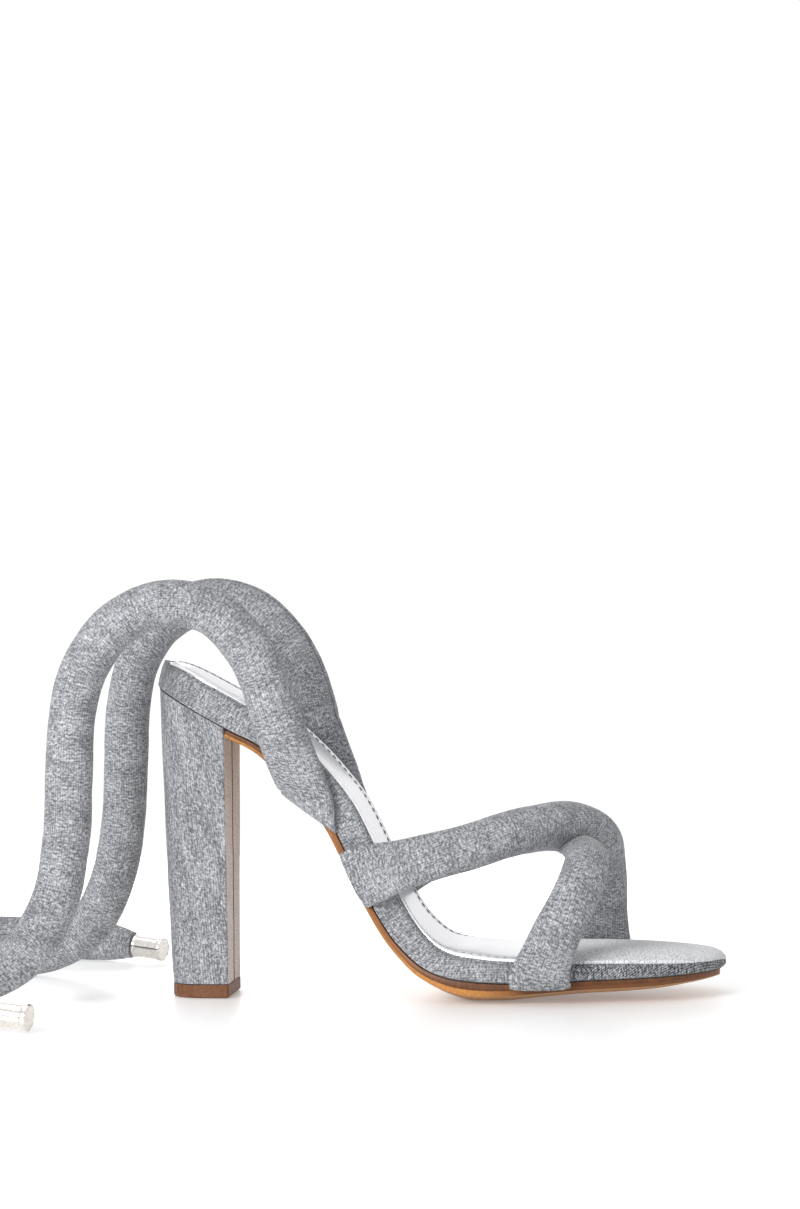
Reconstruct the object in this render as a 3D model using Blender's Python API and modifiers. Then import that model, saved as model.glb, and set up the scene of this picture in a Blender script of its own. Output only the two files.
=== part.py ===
"""A right-foot lace-up sandal: a block heel and a curved sole covered in grey jersey, two crossed
padded straps over the toes, and two long padded ties that lie uncoiled on the floor.

Metres, +Z up, +X to the toe. The origin lies in the heel's ground face, and the shoe stands on
z = 0. The side at -Y is the outer (lateral) side, the side at +Y the inner (medial) one.
"""

import math
from bisect import bisect_right
from collections import namedtuple

import bmesh
import bpy
from mathutils import Vector

MM = 0.001
GAP = 0.3 * MM  # clearance between pieces that touch

# Driving dimensions
SOLE_LENGTH = 208.8 * MM  # back of the seat to the tip of the toe, measured level
HEEL_HEIGHT = 115.1 * MM  # floor to the seam between heel and sole, at the back
HEEL_BACK = 16.8 * MM  # from the origin back to the end of the seat
BALL_WIDTH = 78.0 * MM
SEAT_WIDTH = 49.6 * MM
BALL_LINE = 7.8 * MM  # underside of the footbed's edge above the floor, at the ball
TOE_SPRING = 2.8 * MM
EDGE_LIFT = 3.3 * MM  # how far the ball's edges stand above its middle
FOOTBED_WALL = 10.4 * MM
FOOTBED_CROWN = 3.8 * MM  # how far the padded top stands above the wall in the middle
WALL_BULGE = 0.06  # how far the wall stands out at half its height, as a share of EDGE_ROLL
PILLOW_POWER = 3.6  # how flat the padded top stays before it falls to its edges
EDGE_ROLL = 2.2 * MM  # rounding of the footbed's upper edge
OUTSOLE_THICKNESS = 4.6 * MM
OUTSOLE_INSET = 0.9 * MM
OUTSOLE_TIP_INSET = 2.4 * MM
OUTSOLE_TUCK = 1.8 * MM  # how far the outsole starts ahead of the heel's breast
FLOOR_SNAP = 0.6 * MM  # an underside closer to the floor than this is flat on it
SOCK_THICKNESS = 0.9 * MM
SOCK_RIM = 2.6 * MM  # jersey rim that shows round the sock
SOCK_STEP = 1.2 * MM  # length of the slope from the sock's seat up to the jersey in front
SOCK_FRONT = 0.717  # share of the sole's length where the sock ends
BACK_ROUND = 20.0 * MM
TOE_ROUND = 30.0 * MM

HEEL_FRONT = 10.1 * MM  # from the origin forward to the heel's flat breast
HEEL_DEPTH = 22.4 * MM  # at the floor
HEEL_SETBACK = 0.4 * MM  # from the seat's back end forward to the heel's upper back edge
HEEL_CORNER = 0.7 * MM
HEEL_WIDTH = 32.0 * MM
HEEL_TOP_WIDTH = 43.0 * MM
TOP_LIFT_HEIGHT = 4.8 * MM
TOP_LIFT_BEVEL = 0.5 * MM

STRAP_WIDTH = 16.6 * MM
INSTEP_HEIGHT = 63.0 * MM  # middle of the upper strap above the floor where the straps cross
TIE_DIAMETER = 17.0 * MM
TIP_DIAMETER = 9.5 * MM
TIP_LENGTH = 13.5 * MM

# The sole's edge line, from the back of the seat to the tip. All columns are shares, apart from
# the lean of the section in degrees: along of SOLE_LENGTH, rise of the height from ball to seat,
# spring of TOE_SPRING, wall of FOOTBED_WALL, outsole of OUTSOLE_THICKNESS, lift of EDGE_LIFT,
# crown of FOOTBED_CROWN, centre of BALL_WIDTH, and spread from the seat's to the ball's width.
Section = namedtuple("Section", "along rise spring lean wall outsole lift crown centre spread")
SOLE = [
    Section(0.000, 1.000, 0.00, 14.0, 0.78, 0.60, 0.00, 0.34, 0.000, 0.00),
    Section(0.033, 0.964, 0.00, 20.0, 0.96, 0.60, 0.00, 0.40, 0.000, 0.00),
    Section(0.090, 0.900, 0.00, 27.0, 1.00, 0.60, 0.00, 0.40, 0.000, 0.00),
    Section(0.143, 0.843, 0.00, 29.5, 1.00, 0.60, 0.00, 0.37, -0.002, 0.02),
    Section(0.195, 0.790, 0.00, 32.0, 1.00, 0.65, 0.00, 0.30, -0.005, 0.02),
    Section(0.243, 0.703, 0.00, 40.0, 1.05, 0.67, 0.00, 0.20, -0.008, 0.02),
    Section(0.284, 0.615, 0.00, 48.0, 1.05, 0.67, 0.00, 0.14, -0.013, 0.02),
    Section(0.318, 0.533, 0.00, 56.0, 1.00, 0.63, 0.00, 0.14, -0.019, 0.04),
    Section(0.344, 0.435, 0.00, 62.0, 0.99, 0.59, 0.00, 0.14, -0.025, 0.07),
    Section(0.368, 0.335, 0.00, 64.0, 0.99, 0.57, 0.00, 0.14, -0.030, 0.11),
    Section(0.393, 0.243, 0.00, 62.0, 0.98, 0.57, 0.00, 0.14, -0.032, 0.16),
    Section(0.420, 0.158, 0.00, 57.0, 0.94, 0.59, 0.00, 0.20, -0.031, 0.24),
    Section(0.447, 0.098, 0.00, 47.0, 0.89, 0.65, 0.10, 0.32, -0.028, 0.36),
    Section(0.478, 0.049, 0.00, 36.0, 0.84, 0.78, 0.35, 0.48, -0.023, 0.53),
    Section(0.514, 0.020, 0.00, 24.0, 0.78, 0.93, 0.70, 0.75, -0.018, 0.70),
    Section(0.559, 0.006, 0.00, 12.0, 0.73, 1.13, 1.00, 0.95, -0.013, 0.87),
    Section(0.617, 0.000, 0.00, 4.0, 0.66, 1.02, 1.00, 1.00, -0.006, 0.98),
    Section(0.679, 0.000, 0.04, 0.0, 0.63, 0.83, 1.00, 1.00, 0.000, 1.00),
    Section(0.751, 0.000, 0.29, -1.0, 0.58, 0.72, 1.00, 1.05, 0.004, 0.95),
    Section(0.823, 0.000, 0.42, -1.0, 0.53, 0.69, 0.95, 1.05, 0.012, 0.80),
    Section(0.885, 0.000, 0.54, -1.0, 0.46, 0.67, 0.80, 1.00, 0.028, 0.62),
    Section(0.933, 0.000, 0.67, -1.0, 0.38, 0.58, 0.62, 0.92, 0.046, 0.48),
    Section(0.971, 0.000, 0.80, -2.0, 0.33, 0.50, 0.44, 0.72, 0.064, 0.38),
    Section(1.000, 0.000, 1.00, -3.0, 0.26, 0.42, 0.30, 0.36, 0.077, 0.32),
]

# The free stretch of a strap, from its outer side foot to its inner side one: along of
# SOLE_LENGTH, across of half BALL_WIDTH, height of the rise from the strap's feet to
# INSTEP_HEIGHT, width and thick of STRAP_WIDTH.
Bend = namedtuple("Bend", "along across height width thick")
UPPER_STRAP = [
    Bend(0.440, -0.860, 0.281, 1.24, 0.60),
    Bend(0.492, -0.872, 0.527, 1.11, 0.80),
    Bend(0.550, -0.820, 0.709, 1.01, 0.96),
    Bend(0.612, -0.680, 0.877, 1.00, 1.00),
    Bend(0.670, -0.436, 0.969, 1.00, 1.00),
    Bend(0.715, -0.154, 0.995, 1.00, 1.00),
    Bend(0.753, 0.154, 0.945, 1.00, 1.00),
    Bend(0.776, 0.436, 0.841, 1.00, 1.00),
    Bend(0.781, 0.680, 0.692, 1.00, 0.98),
    Bend(0.783, 0.885, 0.484, 1.02, 0.92),
    Bend(0.781, 1.010, 0.286, 1.06, 0.76),
]
LOWER_STRAP = [
    Bend(0.696, -1.085, 0.170, 1.14, 0.62),
    Bend(0.715, -1.090, 0.309, 1.05, 0.82),
    Bend(0.737, -1.025, 0.457, 1.00, 0.96),
    Bend(0.755, -0.885, 0.597, 1.00, 1.00),
    Bend(0.762, -0.667, 0.703, 0.98, 0.88),
    Bend(0.759, -0.423, 0.757, 0.92, 0.68),
    Bend(0.742, -0.154, 0.802, 0.86, 0.52),
    Bend(0.704, 0.115, 0.841, 0.90, 0.56),
    Bend(0.645, 0.359, 0.845, 0.98, 0.76),
    Bend(0.579, 0.590, 0.754, 1.00, 0.84),
    Bend(0.518, 0.780, 0.629, 1.02, 0.86),
    Bend(0.466, 0.850, 0.505, 1.10, 0.74),
    Bend(0.429, 0.822, 0.356, 1.28, 0.52),
]
# Where each strap is caught between wall and outsole, as shares of the sole's length.
UPPER_STRAP_FEET = (0.366, 0.777)
LOWER_STRAP_FEET = (0.684, 0.392)
FOOT_WIDTH = 22.0 * MM  # a strap's width where it goes under the sole's edge

# The caught end of a strap, from its hidden end outwards: out and up from the sole's edge line and
# thick, as shares of STRAP_WIDTH, width of FOOT_WIDTH, and turn of its outer face in degrees,
# 0 facing outwards and -90 facing down.
Foot = namedtuple("Foot", "out up turn width thick square")
STRAP_FOOT = [
    Foot(-0.360, 0.006, -90.0, 0.94, 0.133, 3.2),
    Foot(-0.133, 0.000, -90.0, 0.97, 0.145, 3.0),
    Foot(0.072, 0.024, -45.0, 1.00, 0.181, 2.8),
    Foot(0.163, 0.205, 0.0, 1.00, 0.277, 2.6),
]

# The flattened root of a tie, from its closed end upwards: back and up from the sole's edge line,
# width and thick, all as shares of TIE_DIAMETER, and the skew of the section in degrees.
Root = namedtuple("Root", "back up width thick skew")
TIE_ROOT = [
    Root(0.00, -0.35, 1.05, 0.16, -44.0),
    Root(0.05, -0.02, 1.08, 0.36, -33.0),
    Root(0.18, 0.41, 1.09, 0.52, -27.0),
    Root(0.35, 0.90, 1.07, 0.70, -20.0),
    Root(0.54, 1.44, 1.08, 0.88, -10.0),
    Root(0.71, 1.95, 1.04, 1.00, 0.0),
]
ROOT_CLEARANCE = 0.35 * MM  # from the sole's wall to a root's inner face
LATERAL_ROOT_ALONG = 0.2816
MEDIAL_ROOT_ALONG = 0.329
ROOT_REACH = 0.026  # share of the sole's length that a root covers to either side

# Routes of the two ties' middle lines in millimetres: up from the root, over, down behind the
# heel, then in a loose loop along the floor.
LATERAL_ROUTE = [
    (26.8, -36.3, 117.0), (21.0, -37.8, 129.5), (8.5, -39.5, 142.0), (-9.0, -41.5, 145.0),
    (-26.0, -43.0, 137.0), (-37.0, -44.5, 122.0), (-41.5, -46.0, 103.0), (-42.5, -47.0, 82.0),
    (-43.5, -48.0, 61.0), (-48.0, -49.5, 38.0), (-60.0, -51.0, 18.5), (-80.0, -52.0, 9.4),
    (-110.0, -52.0, 8.7), (-155.0, -59.0, 8.7), (-208.0, -66.0, 8.7), (-262.0, -60.0, 8.7),
    (-314.0, -56.0, 8.7), (-356.0, -74.0, 8.7), (-362.0, -112.0, 8.7), (-326.0, -136.0, 8.7),
    (-274.0, -133.0, 8.7), (-214.0, -117.0, 8.7), (-155.0, -107.0, 8.7), (-110.0, -110.0, 8.7),
    (-80.0, -117.0, 8.7), (-64.0, -121.0, 7.6), (-55.0, -123.0, 6.7),
]
MEDIAL_ROUTE = [
    (37.0, 36.3, 104.5), (32.5, 37.5, 118.0), (24.5, 38.5, 132.0), (11.0, 40.0, 143.5),
    (-6.0, 41.5, 146.0), (-22.0, 43.0, 138.5), (-32.5, 44.5, 124.0), (-37.0, 46.5, 105.0),
    (-38.5, 48.5, 84.0), (-40.0, 50.5, 62.0), (-44.5, 53.0, 40.0), (-56.0, 58.0, 19.5),
    (-75.0, 64.0, 9.6), (-105.0, 72.0, 8.7), (-150.0, 80.0, 8.7), (-203.0, 82.0, 8.7),
    (-255.0, 74.0, 8.7), (-307.0, 73.0, 8.7), (-347.0, 92.0, 8.7), (-351.0, 129.0, 8.7),
    (-315.0, 153.0, 8.7), (-263.0, 151.0, 8.7), (-203.0, 139.0, 8.7), (-147.0, 133.0, 8.7),
    (-100.0, 134.0, 8.7), (-72.0, 129.0, 8.7), (-57.0, 123.5, 7.6), (-48.5, 120.5, 6.7),
]
TIE_POINTS = 40  # points of a tie's tube, evenly spaced
TIE_STRAIGHT = 6.0 * MM  # straight stretch at the end of the root, whose face it meets squarely
TIE_GATHER = 22.0 * MM  # stretch over which a tie narrows to its tip
LATERAL, MEDIAL = -1, 1

# name: colour, roughness, metallic
MATERIALS = {
    "jersey": ((0.36, 0.37, 0.39, 1.0), 0.95, 0.0),
    "sock": ((0.80, 0.81, 0.84, 1.0), 0.35, 0.6),
    "outsole": ((0.20, 0.085, 0.035, 1.0), 0.45, 0.0),
    "top_lift": ((0.33, 0.20, 0.12, 1.0), 0.55, 0.0),
    "nickel": ((0.72, 0.69, 0.64, 1.0), 0.15, 1.0),
}


def clear_scene():
    for thing in list(bpy.data.objects):
        bpy.data.objects.remove(thing, do_unlink=True)


def make_materials():
    made = {}
    for name, (colour, roughness, metallic) in MATERIALS.items():
        material = bpy.data.materials.new(name)
        material.use_nodes = True
        shader = material.node_tree.nodes["Principled BSDF"]
        shader.inputs["Base Color"].default_value = colour
        shader.inputs["Roughness"].default_value = roughness
        shader.inputs["Metallic"].default_value = metallic
        material.diffuse_color = colour
        made[name] = material
    return made


def smooth_value(places, values, at):
    """Cubic curve through values at rising places."""
    last = len(places) - 1
    k = min(max(bisect_right(places, at) - 1, 0), last - 1)
    before, after = max(k - 1, 0), min(k + 2, last)
    step = places[k + 1] - places[k]
    t = (at - places[k]) / step
    slope_a = (values[k + 1] - values[before]) / (places[k + 1] - places[before]) * step
    slope_b = (values[after] - values[k]) / (places[after] - places[k]) * step
    return (
        values[k] * (2 * t**3 - 3 * t**2 + 1)
        + slope_a * (t**3 - 2 * t**2 + t)
        + values[k + 1] * (3 * t**2 - 2 * t**3)
        + slope_b * (t**3 - t**2)
    )


def smooth_path(points, count):
    """Evenly spaced points read from one smooth curve through the given ones, and its length."""
    places = [0.0]
    for a, b in zip(points, points[1:]):
        places.append(places[-1] + math.sqrt((b - a).length))
    fine = 12 * len(points)
    dense = []
    for k in range(fine + 1):
        at = places[-1] * k / fine
        dense.append(Vector([smooth_value(places, [p[i] for p in points], at) for i in range(3)]))
    lengths = [0.0]
    for a, b in zip(dense, dense[1:]):
        lengths.append(lengths[-1] + (b - a).length)
    out = []
    for k in range(count):
        at = lengths[-1] * k / (count - 1)
        low = min(max(bisect_right(lengths, at) - 1, 0), fine - 1)
        share = (at - lengths[low]) / (lengths[low + 1] - lengths[low])
        out.append(dense[low].lerp(dense[low + 1], share))
    return out, lengths[-1]


class SoleSection:
    """One cross-section of the sole: its edge line, its lean and its sizes in metres."""

    def __init__(self, along):
        places = [row.along for row in SOLE]
        share = {
            name: smooth_value(places, [getattr(row, name) for row in SOLE], along)
            for name in Section._fields
        }
        self.x = along * SOLE_LENGTH - HEEL_BACK
        self.z = (
            BALL_LINE
            + share["rise"] * (HEEL_HEIGHT - BALL_LINE)
            + share["spring"] * TOE_SPRING
        )
        self.lean = math.radians(share["lean"])
        self.wall = share["wall"] * FOOTBED_WALL
        self.outsole = share["outsole"] * OUTSOLE_THICKNESS
        self.lift = share["lift"] * EDGE_LIFT
        self.crown = share["crown"] * FOOTBED_CROWN
        self.centre = share["centre"] * BALL_WIDTH
        full = (SEAT_WIDTH + share["spread"] * (BALL_WIDTH - SEAT_WIDTH)) / 2
        from_back = along * SOLE_LENGTH
        from_tip = (1 - along) * SOLE_LENGTH
        self.half = full * rounded(from_back / BACK_ROUND, 2.2) * rounded(from_tip / TOE_ROUND, 2.3)
        self.up = Vector((math.sin(self.lean), 0, math.cos(self.lean)))
        self.forward = Vector((math.cos(self.lean), 0, -math.sin(self.lean)))

    def point(self, side, height):
        """A point of the section: side from its middle, height from its edge line."""
        return Vector((self.x, self.centre + side, self.z)) + self.up * height

    def sag(self, share):
        """How far the underside hangs below the edge line, share being 0 in the middle, 1 at an edge."""
        flat = 0.35
        return self.lift * (1 - max(0.0, (share - flat) / (1 - flat)) ** 2)

    def top(self, share):
        """Height of the footbed's finished top above the edge line."""
        return self.wall + self.crown * (1 - share**PILLOW_POWER)


def rounded(share, power):
    """1 inside the outline, falling to 0 in a round end as share goes from 1 to 0."""
    if share >= 1:
        return 1.0
    return (1 - (1 - max(share, 0.012)) ** power) ** (1 / power)


def sole_stations(start, end):
    """Shares of the sole's length where its sections are taken, closer at the round ends."""
    back = BACK_ROUND / SOLE_LENGTH
    toe = TOE_ROUND / SOLE_LENGTH
    turn = [1 - math.cos(math.radians(angle)) for angle in (0, 20, 38, 54, 70, 84)]
    places = [back * share for share in turn] + [1 - toe * share for share in turn]
    places += [row.along for row in SOLE if 1.1 * back < row.along < 1 - 1.1 * toe]
    inside = sorted(place for place in places if start < place < end)
    return [start] + [p for p in inside if p - start > 0.005 and end - p > 0.005] + [end]


def new_object(name, mesh, material):
    thing = bpy.data.objects.new(name, mesh)
    thing.data.materials.append(material)
    COLLECTIONS["sandal"].objects.link(thing)
    return thing


def loft(name, rings, material, sharp_angle=40.0):
    """A closed solid through rings of equal length, with flat fans at both ends."""
    mesh = bmesh.new()
    rows = [[mesh.verts.new(point) for point in ring] for ring in rings]
    count = len(rings[0])
    for low, high in zip(rows, rows[1:]):
        for i in range(count):
            j = (i + 1) % count
            mesh.faces.new((low[i], low[j], high[j], high[i]))
    mesh.faces.new(list(reversed(rows[0])))
    mesh.faces.new(rows[-1])
    bmesh.ops.triangulate(mesh, faces=[face for face in mesh.faces if len(face.verts) > 4])
    bmesh.ops.recalc_face_normals(mesh, faces=mesh.faces)
    data = bpy.data.meshes.new(name)
    mesh.to_mesh(data)
    mesh.free()
    data.shade_smooth()
    data.set_sharp_from_angle(angle=math.radians(sharp_angle))
    return new_object(name, data, material)


def mirrored_ring(section, half_ring):
    """A whole ring from its half, whose rows are side in metres and height."""
    right = [section.point(side, height) for side, height in half_ring]
    left = [section.point(-side, height) for side, height in half_ring[1:-1]]
    return right + left[::-1]


def footbed_ring(section, recess):
    half, wall = section.half, section.wall
    roll = min(EDGE_ROLL, 0.5 * wall)
    rim = half - SOCK_RIM
    ring = [(share * half, -section.sag(share)) for share in (0, 0.35, 0.6, 0.82)]
    ring += [
        (half - 0.25 * roll, -section.sag(1)),
        (half, 0.3 * roll),
        (half + WALL_BULGE * roll, 0.5 * wall),
        (half, wall - roll),
        (half - 0.3 * roll, wall - 0.3 * roll),
        (half - roll, wall),
        (rim, section.top(rim / half) - recess),
    ]
    ring += [(share * rim, section.top(share * rim / half) - recess) for share in (0.7, 0.36, 0)]
    return mirrored_ring(section, ring)


def make_footbed(material):
    deep = SOCK_THICKNESS + GAP
    step = SOCK_STEP / SOLE_LENGTH
    rings = []
    for along in sole_stations(0.0, SOCK_FRONT):
        rings.append(footbed_ring(SoleSection(along), deep))
    for along in sole_stations(SOCK_FRONT + step, 1.0):
        rings.append(footbed_ring(SoleSection(along), 0.0))
    return loft("footbed", rings, material)


def make_insole(material):
    start = (SOCK_RIM + GAP) / SOLE_LENGTH
    rings = []
    for along in sole_stations(start, SOCK_FRONT - 2 * GAP / SOLE_LENGTH):
        section = SoleSection(along)
        half = section.half
        sides = [half - SOCK_RIM - GAP] + [share * (half - SOCK_RIM) for share in (0.7, 0.36, 0)]
        top = [(side, section.top(side / half)) for side in sides]
        under = [(side, height - SOCK_THICKNESS) for side, height in reversed(top)]
        rings.append(mirrored_ring(section, under + top))
    return loft("insole", rings, material)


def make_outsole(material):
    start = (HEEL_BACK + HEEL_FRONT + OUTSOLE_TUCK) / SOLE_LENGTH
    end = 1 - OUTSOLE_TIP_INSET / SOLE_LENGTH
    rings = []
    for along in sole_stations(start, end):
        section = SoleSection(along)
        half = section.half - OUTSOLE_INSET
        thick = section.outsole - GAP
        shares = (0, 0.35, 0.6, 0.82, 0.985)
        top = [(share * half, -section.sag(share) - GAP) for share in shares]
        edge = [(half, -GAP - 0.2 * thick), (half, -GAP - 0.7 * thick)]
        under = [(side, height - thick) for side, height in reversed(top)]
        ring = mirrored_ring(section, top + edge + under)
        for point in ring:
            if point.z < FLOOR_SNAP:
                point.z = 0.0
        rings.append(ring)
    return loft("outsole", rings, material)


def heel_outline(front, back, width):
    """Level outline of the heel: flat breast, straight sides and a round back."""
    half = width / 2
    start = front - 0.30 * (front - back)
    ring = [(front, 0.0), (front, half - HEEL_CORNER), (front - HEEL_CORNER, half), (start, half)]
    for angle in (18, 36, 54, 72, 90):
        turn = math.radians(angle)
        x = start - (start - back) * math.sin(turn) ** (2 / 2.5)
        y = half * math.cos(turn) ** (2 / 2.5) if angle < 90 else 0.0
        ring.append((x, y))
    return ring + [(x, -y) for x, y in reversed(ring[1:-1])]


def seat_underside(x):
    """Height of the footbed's underside over a point of the seat, which is straight across."""
    low, high = 0.0, 0.3
    for _ in range(40):
        middle = (low + high) / 2
        if SoleSection(middle).x < x:
            low = middle
        else:
            high = middle
    return SoleSection(low).z


def make_heel(material):
    bottom_back = HEEL_FRONT - HEEL_DEPTH
    top_back = HEEL_SETBACK - HEEL_BACK
    bottom = TOP_LIFT_HEIGHT + GAP
    top_ring = heel_outline(HEEL_FRONT, top_back, HEEL_TOP_WIDTH)
    rings = []
    for share in (0.0, 0.2, 0.4, 0.6, 0.8, 1.0):
        back = bottom_back + (top_back - bottom_back) * share**0.8
        width = HEEL_WIDTH + (HEEL_TOP_WIDTH - HEEL_WIDTH) * share**1.2
        ring = []
        for (x, y), (top_x, _) in zip(heel_outline(HEEL_FRONT, back, width), top_ring):
            top = seat_underside(top_x) - GAP
            ring.append(Vector((x, y, bottom + (top - bottom) * share)))
        rings.append(ring)
    return loft("heel", rings, material)


def make_top_lift(material):
    back = HEEL_FRONT - HEEL_DEPTH
    rings = []
    for z, inset in ((0.0, TOP_LIFT_BEVEL), (TOP_LIFT_BEVEL, 0.0), (TOP_LIFT_HEIGHT, 0.0)):
        outline = heel_outline(HEEL_FRONT - inset, back + inset, HEEL_WIDTH - 2 * inset)
        rings.append([Vector((x, y, z)) for x, y in outline])
    return loft("top_lift", rings, material)


Ring = namedtuple("Ring", "middle normal width thick square skew", defaults=(0.0,))


def foot_rings(along, side):
    """Rings that catch a strap under the sole's edge, from the hidden end outwards."""
    section = SoleSection(along)
    edge = section.point(side * section.half, 0.0)
    out = Vector((0, side, 0))
    rings = []
    for row in STRAP_FOOT:
        turn = math.radians(row.turn)
        middle = edge + (out * row.out + section.up * row.up) * STRAP_WIDTH
        normal = out * math.cos(turn) + section.up * math.sin(turn)
        rings.append(Ring(middle, normal, row.width * FOOT_WIDTH, row.thick * STRAP_WIDTH, row.square))
    return rings


def ring_points(ring, tangent, grow=0.0, count=16):
    """Points of one strap section, a rounded flat shape across the strap's way."""
    normal = (ring.normal - tangent * ring.normal.dot(tangent)).normalized()
    across = tangent.cross(normal).normalized()
    if across.x < 0:
        across = -across
    level = (tangent - ring.normal * tangent.dot(ring.normal)).normalized()
    across = (across + level * math.tan(ring.skew)).normalized() / math.cos(ring.skew)
    points = []
    for i in range(count):
        angle = 2 * math.pi * (i + 0.5) / count
        c, s = math.cos(angle), math.sin(angle)
        power = 2 / ring.square
        u = math.copysign(abs(c) ** power, c) * (ring.width / 2 + grow)
        v = math.copysign(abs(s) ** power, s) * (ring.thick / 2 + grow)
        points.append(ring.middle + across * u + normal * v)
    return points


def ring_tangents(rings):
    tangents = []
    for k in range(len(rings)):
        ahead = rings[min(k + 1, len(rings) - 1)].middle
        behind = rings[max(k - 1, 0)].middle
        tangents.append((ahead - behind).normalized())
    return tangents


def strap_rings(feet, bends):
    """All rings of a strap, from its lateral foot over the toes to its medial foot."""
    axis_height = 0.42 * INSTEP_HEIGHT
    ends = [SoleSection(at) for at in feet]
    low = [end.point(side * end.half, 0.0).z for end, side in zip(ends, (LATERAL, MEDIAL))]
    free = []
    for k, bend in enumerate(bends):
        base = low[0] + (low[1] - low[0]) * k / (len(bends) - 1)
        middle = Vector(
            (
                bend.along * SOLE_LENGTH - HEEL_BACK,
                bend.across * BALL_WIDTH / 2,
                base + bend.height * (INSTEP_HEIGHT - base),
            )
        )
        normal = Vector((0, middle.y, max(middle.z - axis_height, 0.0))).normalized()
        free.append(Ring(middle, normal, bend.width * STRAP_WIDTH, bend.thick * STRAP_WIDTH, 2.0))
    start = foot_rings(feet[0], LATERAL)
    end = foot_rings(feet[1], MEDIAL)
    return start + free + end[::-1]


def strap_solid(name, rings, material):
    tangents = ring_tangents(rings)
    return loft(name, [ring_points(r, t) for r, t in zip(rings, tangents)], material, 60.0)


def pocket_cutter(name, rings, from_end):
    """The enlarged foot of a strap, which cuts its seat in footbed and outsole."""
    tangents = ring_tangents(rings)
    pairs = list(zip(rings, tangents))
    if from_end:
        pairs = [(ring, -tangent) for ring, tangent in reversed(pairs)]
    first_ring, first_tangent = pairs[0]
    deeper = first_ring._replace(middle=first_ring.middle - first_tangent * GAP)
    pairs = [(deeper, first_tangent)] + pairs[1:7]
    points = [ring_points(ring, tangent, GAP) for ring, tangent in pairs]
    cutter = loft(name, points, MADE_MATERIALS["jersey"])
    COLLECTIONS["sandal"].objects.unlink(cutter)
    COLLECTIONS["cutters"].objects.link(cutter)
    cutter.hide_render = True
    cutter.display_type = "WIRE"
    return cutter


def boolean(target, other, operation):
    modifier = target.modifiers.new(f"{operation} {other.name}".lower(), "BOOLEAN")
    modifier.operation = operation
    modifier.solver = "EXACT"
    modifier.object = other


def bake_modifiers(thing):
    """Gives an object the mesh that its modifiers make."""
    graph = bpy.context.evaluated_depsgraph_get()
    mesh = bpy.data.meshes.new_from_object(thing.evaluated_get(graph))
    thing.modifiers.clear()
    thing.data = mesh


def make_upper(material):
    over = strap_rings(UPPER_STRAP_FEET, UPPER_STRAP)
    under = strap_rings(LOWER_STRAP_FEET, LOWER_STRAP)
    upper = strap_solid("upper", over, material)
    lower = strap_solid("lower_strap", under, material)
    boolean(upper, lower, "UNION")
    bake_modifiers(upper)
    bpy.data.objects.remove(lower, do_unlink=True)
    return upper, over, under


def root_rings(along, side):
    """Rings of a tie's flattened root, from its closed end up to the round tie."""
    section = SoleSection(along)
    near = [SoleSection(along + shift * ROOT_REACH) for shift in (-1, -0.5, 0, 0.5, 1)]
    widest = max(side * other.centre + other.half for other in near)
    edge = Vector((section.x, 0, section.z))
    wall = widest + WALL_BULGE * EDGE_ROLL + ROOT_CLEARANCE
    out = Vector((0, side, 0))
    rings = []
    for row in TIE_ROOT:
        thick = row.thick * TIE_DIAMETER
        middle = edge + Vector((-row.back, 0, row.up)) * TIE_DIAMETER + out * (wall + thick / 2)
        square = 2.8 - 0.8 * row.thick
        skew = math.radians(row.skew)
        rings.append(Ring(middle, out, row.width * TIE_DIAMETER, thick, square, skew))
    return rings


def make_tie(name, route, rings, material, tip_material):
    """A tie's free stretch as a round tube from its root, and the metal tip on its end."""
    start = rings[-1].middle
    leave = (start - rings[-2].middle).normalized()
    first = start + leave * GAP
    second = first + leave * TIE_STRAIGHT
    points, _ = smooth_path([second] + [Vector(p) * MM for p in route], TIE_POINTS - 1)
    points.insert(0, first)
    curve = bpy.data.curves.new(name, "CURVE")
    curve.dimensions = "3D"
    curve.bevel_depth = TIE_DIAMETER / 2
    curve.bevel_resolution = 2
    curve.use_fill_caps = True
    spline = curve.splines.new("POLY")
    spline.points.add(len(points) - 1)
    end = points[-1]
    narrow = TIP_DIAMETER * 1.08 / TIE_DIAMETER
    for spot, point in zip(spline.points, points):
        near = min((end - point).length / TIE_GATHER, 1.0)
        spot.radius = narrow + (1 - narrow) * near
        point.z = max(point.z, spot.radius * TIE_DIAMETER / 2 + GAP / 3)
        spot.co = (*point, 1.0)
    new_object(name, curve, material)
    way = (points[-1] - points[-2]).normalized()
    make_tip(name.replace("tie", "tip"), end + way * GAP, way, tip_material)


def make_tip(name, place, way, material):
    """A turned metal end with a flat disc, from a profile of radius and length shares."""
    profile = [
        (0.00, 0.00), (0.96, 0.00), (1.00, 0.04), (1.00, 0.10), (0.93, 0.13), (0.93, 0.84),
        (1.00, 0.87), (1.00, 0.95), (0.94, 1.00), (0.00, 1.00),
    ]
    radius = TIP_DIAMETER / 2
    data = bpy.data.meshes.new(name)
    corners = [(share * radius, 0, (1 - length) * TIP_LENGTH) for share, length in profile]
    data.from_pydata(corners, [(i, i + 1) for i in range(len(corners) - 1)], [])
    tip = new_object(name, data, material)
    turn = tip.modifiers.new("turn", "SCREW")
    turn.steps = 24
    turn.render_steps = 24
    turn.use_merge_vertices = True
    turn.merge_threshold = 0.00005
    turn.use_smooth_shade = True
    tip.rotation_euler = (-way).to_track_quat("Z", "Y").to_euler()
    tip.location = place + way * TIP_LENGTH
    return tip


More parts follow.
